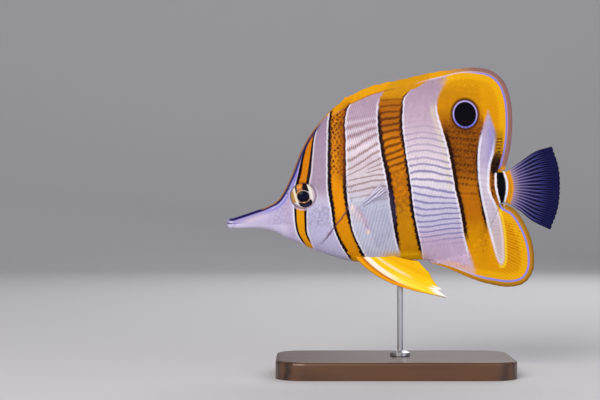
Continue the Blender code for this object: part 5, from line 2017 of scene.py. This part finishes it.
@dataclass
class PectoralFin:
    """One pectoral fin: a clear fan behind the gill opening."""

    side: Side
    root: tuple = ((65.2, 7.7), (67.7, 3.3), (69.5, -1.9))
    margin: tuple = ((76.6, 20.2), (81.8, 15.4), (84.4, 7), (83.4, -1.6), (80, -8.2), (74.8, -12.8))
    rays: int = 14
    steps_per_ray: int = 12
    rows: int = 44
    spread: float = 12.0
    membrane_half: float = 0.1
    root_half: float = 0.7
    ray_rise: float = 0.17
    ripple: float = 0.5
    membrane: tuple = ((0.0, "#E0CAD8"), (0.14, "#A4A6CC"), (0.6, "#8C8AC0"), (1.0, "#54488C"))
    ray_colours: tuple = ((0.0, "#E6DEF0"), (1.0, "#FBFAFF"))

    def build(self) -> None:
        """Makes the fin, which replaces its solid."""
        across = np.linspace(0.0, 1.0, self.rays * self.steps_per_ray + 1)
        reach = np.linspace(0.0, 1.0, self.rows)[None, :]
        root = respaced(spline(self.root, 60), across)
        margin = respaced(spline(self.margin, 100), across)
        notch = 0.03 * (np.abs(off_ray(across, self.rays)) * 2) ** 2
        margin += (root - margin) * notch[:, None]
        # The fin starts a little inside the flank
        run = reach * 1.06 - 0.06
        flat = root[:, None] + run[..., None] * (margin - root)[:, None]
        length = np.linalg.norm(flat - root[:, None], axis=2) * np.sign(run)
        out = PLAN.flesh(root[:, 0], root[:, 1])[:, None] + length * math.sin(math.radians(self.spread))
        out += self.ripple * np.sin(across * math.pi * 3)[:, None] * np.clip(run, 0, 1) ** 2
        centre = np.stack([flat[..., 0], self.side.value * out, flat[..., 1]], axis=-1)
        on_ray = branching(across[:, None], reach, self.rays, (0.45,), 0.2)
        # Painted highlight: the first rays are painted pale and a little more opaque, where they catch the
        # light, and the others hardly show
        painted_glint = eased(0.17, 0.13, across)[:, None] * eased(0.1, 0.3, reach) * eased(0.98, 0.85, reach)
        on_ray = on_ray * (0.04 + 0.96 * painted_glint)
        thick_root = (self.root_half - self.membrane_half) * (1 - reach) ** 6
        half = self.membrane_half + thick_root + self.ray_rise * on_ray * (1 - 0.6 * reach)
        cover = 0.05 + 0.75 * eased(0.14, 0.0, reach) + 0.08 * painted_glint + 0.75 * on_ray
        name = "pectoral_" + self.side.word
        fields = {"reach": reach, "on_ray": on_ray, "cover": np.clip(cover, 0.0, 1.0)}
        mesh = sheet_mesh(name, centre, half, fields)
        finish = FinFinish("pectoral_membrane_" + self.side.word, self.membrane, self.ray_colours, True, 1.0)
        mesh.materials.append(finish.build())
        ride(new_object(name, mesh), "clear_fin", "pectoral_fin_" + self.side.word)


@dataclass
class PelvicFin:
    """One pelvic fin: a spine and five rays in a yellow membrane, the first ray long and white."""

    side: Side
    rays: tuple = (
        ((63, -16.2), (72.5, -29), (92.6, -33.9)), ((68.4, -15.2), (81, -31), (110.3, -37.7)),
        ((71.4, -15.2), (85, -27.6), (107.8, -33.8)), ((74, -15.2), (87, -24), (104.2, -31)),
        ((76.2, -15.2), (87.5, -20.8), (100.8, -25.2)), ((78, -15.2), (87, -18.4), (95.4, -19.4)),
    )
    notches: tuple = (0, 0.1, 0.04, 0.02, 0.02)
    root_side: float = 3.3
    spread: float = 5.0
    rows: int = 60
    between: int = 12
    membrane_half: float = 0.2
    root_half: float = 0.65
    ray_rise: float = 0.22

    def columns(self, run: Array) -> tuple[Array, Array]:
        """Lays the rays and the membrane between them.

        Args:
            run: Shares of the way out along the rays.

        Returns:
            Side-view places, one row a column of the fin, and the ray number of each column.
        """
        t = run[:, None]
        bent = [
            (1 - t) ** 2 * np.asarray(a) + 2 * t * (1 - t) * np.asarray(b) + t**2 * np.asarray(c)
            for a, b, c in self.rays
        ]
        places, numbers = [], []
        for i, (ray, following) in enumerate(zip(bent, bent[1:])):
            for share in np.arange(self.between) / self.between:
                notch = self.notches[i] * (1 - abs(2 * share - 1)) ** 0.8
                place = ray * (1 - share) + following * share
                places.append(place[0] + (place - place[0]) * (1 - notch))
                numbers.append(i + share)
        return np.asarray([*places, bent[-1]]), np.asarray([*numbers, len(bent) - 1.0])

    def build(self) -> None:
        """Makes the fin, which replaces its solid."""
        run = np.linspace(0.0, 1.0, self.rows)
        flat, number = self.columns(run)
        length = np.linalg.norm(flat - flat[:, :1], axis=2)
        out = self.root_side + length * math.sin(math.radians(self.spread))
        centre = np.stack([flat[..., 0], self.side.value * out, flat[..., 1]], axis=-1)
        steps_away = np.abs(number - np.round(number)) * self.between
        ridge = np.exp(-((steps_away / 1.9) ** 2))[:, None]
        thick_root = (self.root_half - self.membrane_half) * (1 - run) ** 1.6
        half = self.membrane_half + thick_root + self.ray_rise * ridge * (1 - 0.55 * run)
        name = "pelvic_" + self.side.word
        mesh = sheet_mesh(name, centre, half, {F.FIN: run[None, :], F.RAY: number[:, None]})
        mesh.materials.append(self.finish())
        ride(new_object(name, mesh), "yellow_fin", "pelvic_fin_" + self.side.word)

    def finish(self) -> bpy.types.Material:
        """Bright yellow skin over the rays: orange along the spine, white along the first rays.

        Returns:
            The material.
        """
        material, tree, shader = new_material(
            "pelvic_yellow_" + self.side.word, Roughness=0.45, Specular_IOR_Level=0.06
        )
        painter = Painter(tree, linear("#F6BE08"))
        painter.lay(
            tint("#FFD816", 0.9, F.RAY(1.2, 3.2, 0.8), F.FIN(0, 1)),
            # Orange spine with a red line behind it, then the white first ray
            tint("#EE9E0C", 1, F.RAY(-1, 0.66, 0.15)),
            tint("#B4560E", 0.8, F.RAY(0.44, 0.64), F.FIN(0.04, 0.6, 0.1)),
            tint("#FFF4E8", 0.95, F.RAY(0.68, 1.25), F.FIN(-1, 0.6, 0.3)),
            tint("#FFE93C", 0.85, F.RAY(0.82, 1.9, 0.3), F.FIN(0.45, 0.9, 0.3)),
            tint("#FFF6DC", 0.7, F.RAY(2.05, 2.5, 0.35), F.FIN(0.03, 0.58, 0.25)),
            tint("#FFFDF6", 0.95, F.RAY(0.86, 2.3), F.FIN(0.9, 2, 0.08)),
        )
        streaks = painter.lines(F.RAY, 0.12, 0.3, 3)
        painter.blend(linear("#E8960A"), painter.share((F.RAY(1.3, 6), F.FIN(-1, 0.85)), 0.4, streaks))
        feed(tree, shader, Base_Color=painter.colour)
        return material


def ride(piece: bpy.types.Object, slot: str, *nodes: str) -> None:
    """Puts a finished piece on the one body.

    Args:
        piece: The piece.
        slot: The slot meant for it; not used.
        *nodes: The nodes that it takes the place of.
    """
    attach(piece, BODY)
    if nodes:
        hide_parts(*nodes)
    LOG.info("%s: %d faces", piece.name, len(piece.data.polygons))


@dataclass
class Stand:
    """The display stand's finishes, on its own solids."""

    wood_nodes: tuple[str, ...] = ("stand_base",)
    steel_nodes: tuple[str, ...] = ("stand_collar", "stand_rod")

    def dress(self) -> None:
        """Gives the stand its wood and its steel."""
        for nodes, material in ((self.wood_nodes, self.walnut()), (self.steel_nodes, self.steel())):
            for name in nodes:
                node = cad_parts[name]
                for slot in node.material_slots:
                    slot.material = material
                if not node.material_slots:
                    node.data.materials.append(material)
                LOG.info("%s: %s", name, material.name)

    def walnut(self) -> bpy.types.Material:
        """Oiled walnut, planed and stained dark: long grain lines with fine pores.

        Returns:
            The material.
        """
        material, tree, shader = new_material("oiled_walnut", Roughness=0.38, Coat_Weight=0.15)
        coords = add_node(tree, "ShaderNodeTexCoord").outputs["Object"]
        # Grain runs along the board: growth lines about 4 mm apart, pores about 0.4 mm
        grain = add_node(tree, "ShaderNodeMapping", Vector=coords, Scale=(14.0, 130.0, 130.0)).outputs[0]
        bend = add_node(tree, "ShaderNodeTexNoise", Vector=grain, Scale=0.6, Detail=4.0)
        wave = add_node(
            tree, "ShaderNodeTexWave", {"bands_direction": "Y"}, Vector=grain, Scale=0.55, Distortion=5.0,
            Detail=3.0,
        )
        mixed = add_node(
            tree, "ShaderNodeMath", {"operation": "MULTIPLY_ADD"}, in0=wave.outputs["Fac"], in1=0.55,
            in2=bend.outputs["Fac"],
        )
        stops = ((0.35, "#2E1B10"), (1.0, "#5E3C22"))
        ramp = add_node(tree, "ShaderNodeValToRGB", stops=stops, Fac=mixed.outputs[0])
        pores = add_node(tree, "ShaderNodeMapping", Vector=coords, Scale=(120.0, 2400.0, 2400.0))
        fine = add_node(tree, "ShaderNodeTexNoise", Vector=pores.outputs[0], Scale=1.0, Detail=2.0)
        bump = add_node(tree, "ShaderNodeBump", Strength=0.15, Distance=0.0002, Height=fine.outputs["Fac"])
        feed(tree, shader, Base_Color=ramp.outputs[0], Normal=bump.outputs[0])
        return material

    def steel(self) -> bpy.types.Material:
        """Brushed stainless steel: a grey mirror, dulled by fine scratches round the rod.

        Returns:
            The material.
        """
        material, tree, shader = new_material(
            "brushed_stainless_steel", Base_Color=linear("#C4C4C8"), Metallic=1.0
        )
        coords = add_node(tree, "ShaderNodeTexCoord").outputs["Object"]
        # Brush marks go round the rod, about 0.15 mm apart up it, drawn coarser to show
        turned = add_node(tree, "ShaderNodeMapping", Vector=coords, Scale=(300.0, 300.0, 5000.0))
        scratch = add_node(tree, "ShaderNodeTexNoise", Vector=turned.outputs[0], Scale=1.0, Detail=2.0)
        rough = add_node(tree, "ShaderNodeMapRange", Value=scratch.outputs["Fac"], To_Min=0.22, To_Max=0.42)
        feed(tree, shader, Roughness=rough.outputs[0])
        return material


@dataclass
class Studio:
    """Pale floor and backdrop, soft lamps and the camera at the photo's angle."""

    distance: float = 0.833
    lens: float = 100.0
    aim: tuple[float, float] = (-0.047, 0.087)

    def build(self) -> None:
        """Sets the scene round the fish."""
        self.backdrop()
        self.lamps()
        camera = bpy.data.cameras.new("camera")
        camera.lens = self.lens
        camera.sensor_width = 36.0
        viewer = bpy.data.objects.new("camera", camera)
        viewer.location = (self.aim[0], -self.distance, self.aim[1])
        viewer.rotation_euler = (math.radians(90.0), 0.0, 0.0)
        bpy.context.scene.collection.objects.link(viewer)
        bpy.context.scene.camera = viewer

    def backdrop(self) -> None:
        """A floor that curves up behind the fish, all in one pale paper."""
        start, radius = 1.2, 0.6
        turns = np.linspace(0.1, math.pi / 2, 12)
        curve = [(start + radius * math.sin(a), radius - radius * math.cos(a)) for a in turns]
        profile = [(-3.0, 0.0), (start, 0.0), *curve, (start + radius, 3.0)]
        points, faces = [], []
        for y, z in profile:
            points += [(-4.0, y, z), (4.0, y, z)]
        for i in range(len(profile) - 1):
            faces.append((2 * i, 2 * i + 1, 2 * i + 3, 2 * i + 2))
        mesh = bpy.data.meshes.new("paper")
        mesh.from_pydata(points, [], faces)
        mesh.shade_smooth()
        material, _, _ = new_material(
            "pale_paper", Base_Color=linear("#DAD9DC"), Roughness=0.9, Specular_IOR_Level=0.2
        )
        mesh.materials.append(material)
        new_object("floor", mesh)

    def lamps(self) -> None:
        """A large key lamp in front and above, a fill beside it and one behind for the fins."""
        for name, place, size, power, glow in (
            ("key", (-0.5, -1.1, 0.7), 0.7, 13.0, "#FFFBF4"),
            ("fill", (0.75, -0.8, 0.35), 0.9, 3.5, "#F0F2FF"),
            ("behind", (0.3, 0.8, 0.7), 0.8, 4.0, "#FFFFFF"),
        ):
            lamp = bpy.data.lights.new(name, "AREA")
            lamp.size = size
            lamp.energy = power
            lamp.color = linear(glow)[:3]
            holder = bpy.data.objects.new(name, lamp)
            holder.location = place
            aim = Vector((0.0, 0.0, 0.09)) - Vector(place)
            holder.rotation_euler = aim.to_track_quat("-Z", "Y").to_euler()
            bpy.context.scene.collection.objects.link(holder)
        world = bpy.context.scene.world or bpy.data.worlds.new("studio")
        bpy.context.scene.world = world
        world.use_nodes = True
        background = world.node_tree.nodes["Background"]
        background.inputs[0].default_value = linear("#E6E8F0")
        background.inputs[1].default_value = 0.3


def main() -> None:
    """Builds the fish, its stand and the studio in order."""
    logging.basicConfig(level=logging.INFO, format="%(message)s")
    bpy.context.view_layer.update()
    skin = Skin().build()
    ride(
        skin, "silver_skin", "upper_jaw", "lower_jaw", "snout", "head", "gill_cover_left",
        "gill_cover_right", "trunk", "tail_stalk", "dorsal_fin_spiny", "dorsal_fin_soft",
        "anal_fin_spiny", "anal_fin_soft",
    )
    scale_finish = FishSkinFinish("wet_fish_skin_scales").build()
    for side in Side:
        ride(ScaleCoat(side, skin).build(scale_finish), "silver_skin")
        Eye(side).build()
        PectoralFin(side).build()
        PelvicFin(side).build()
    TailFin().build()
    Stand().dress()
    Studio().build()
    bpy.context.scene.view_settings.view_transform = "Standard"


if __name__ == "__main__":
    main()
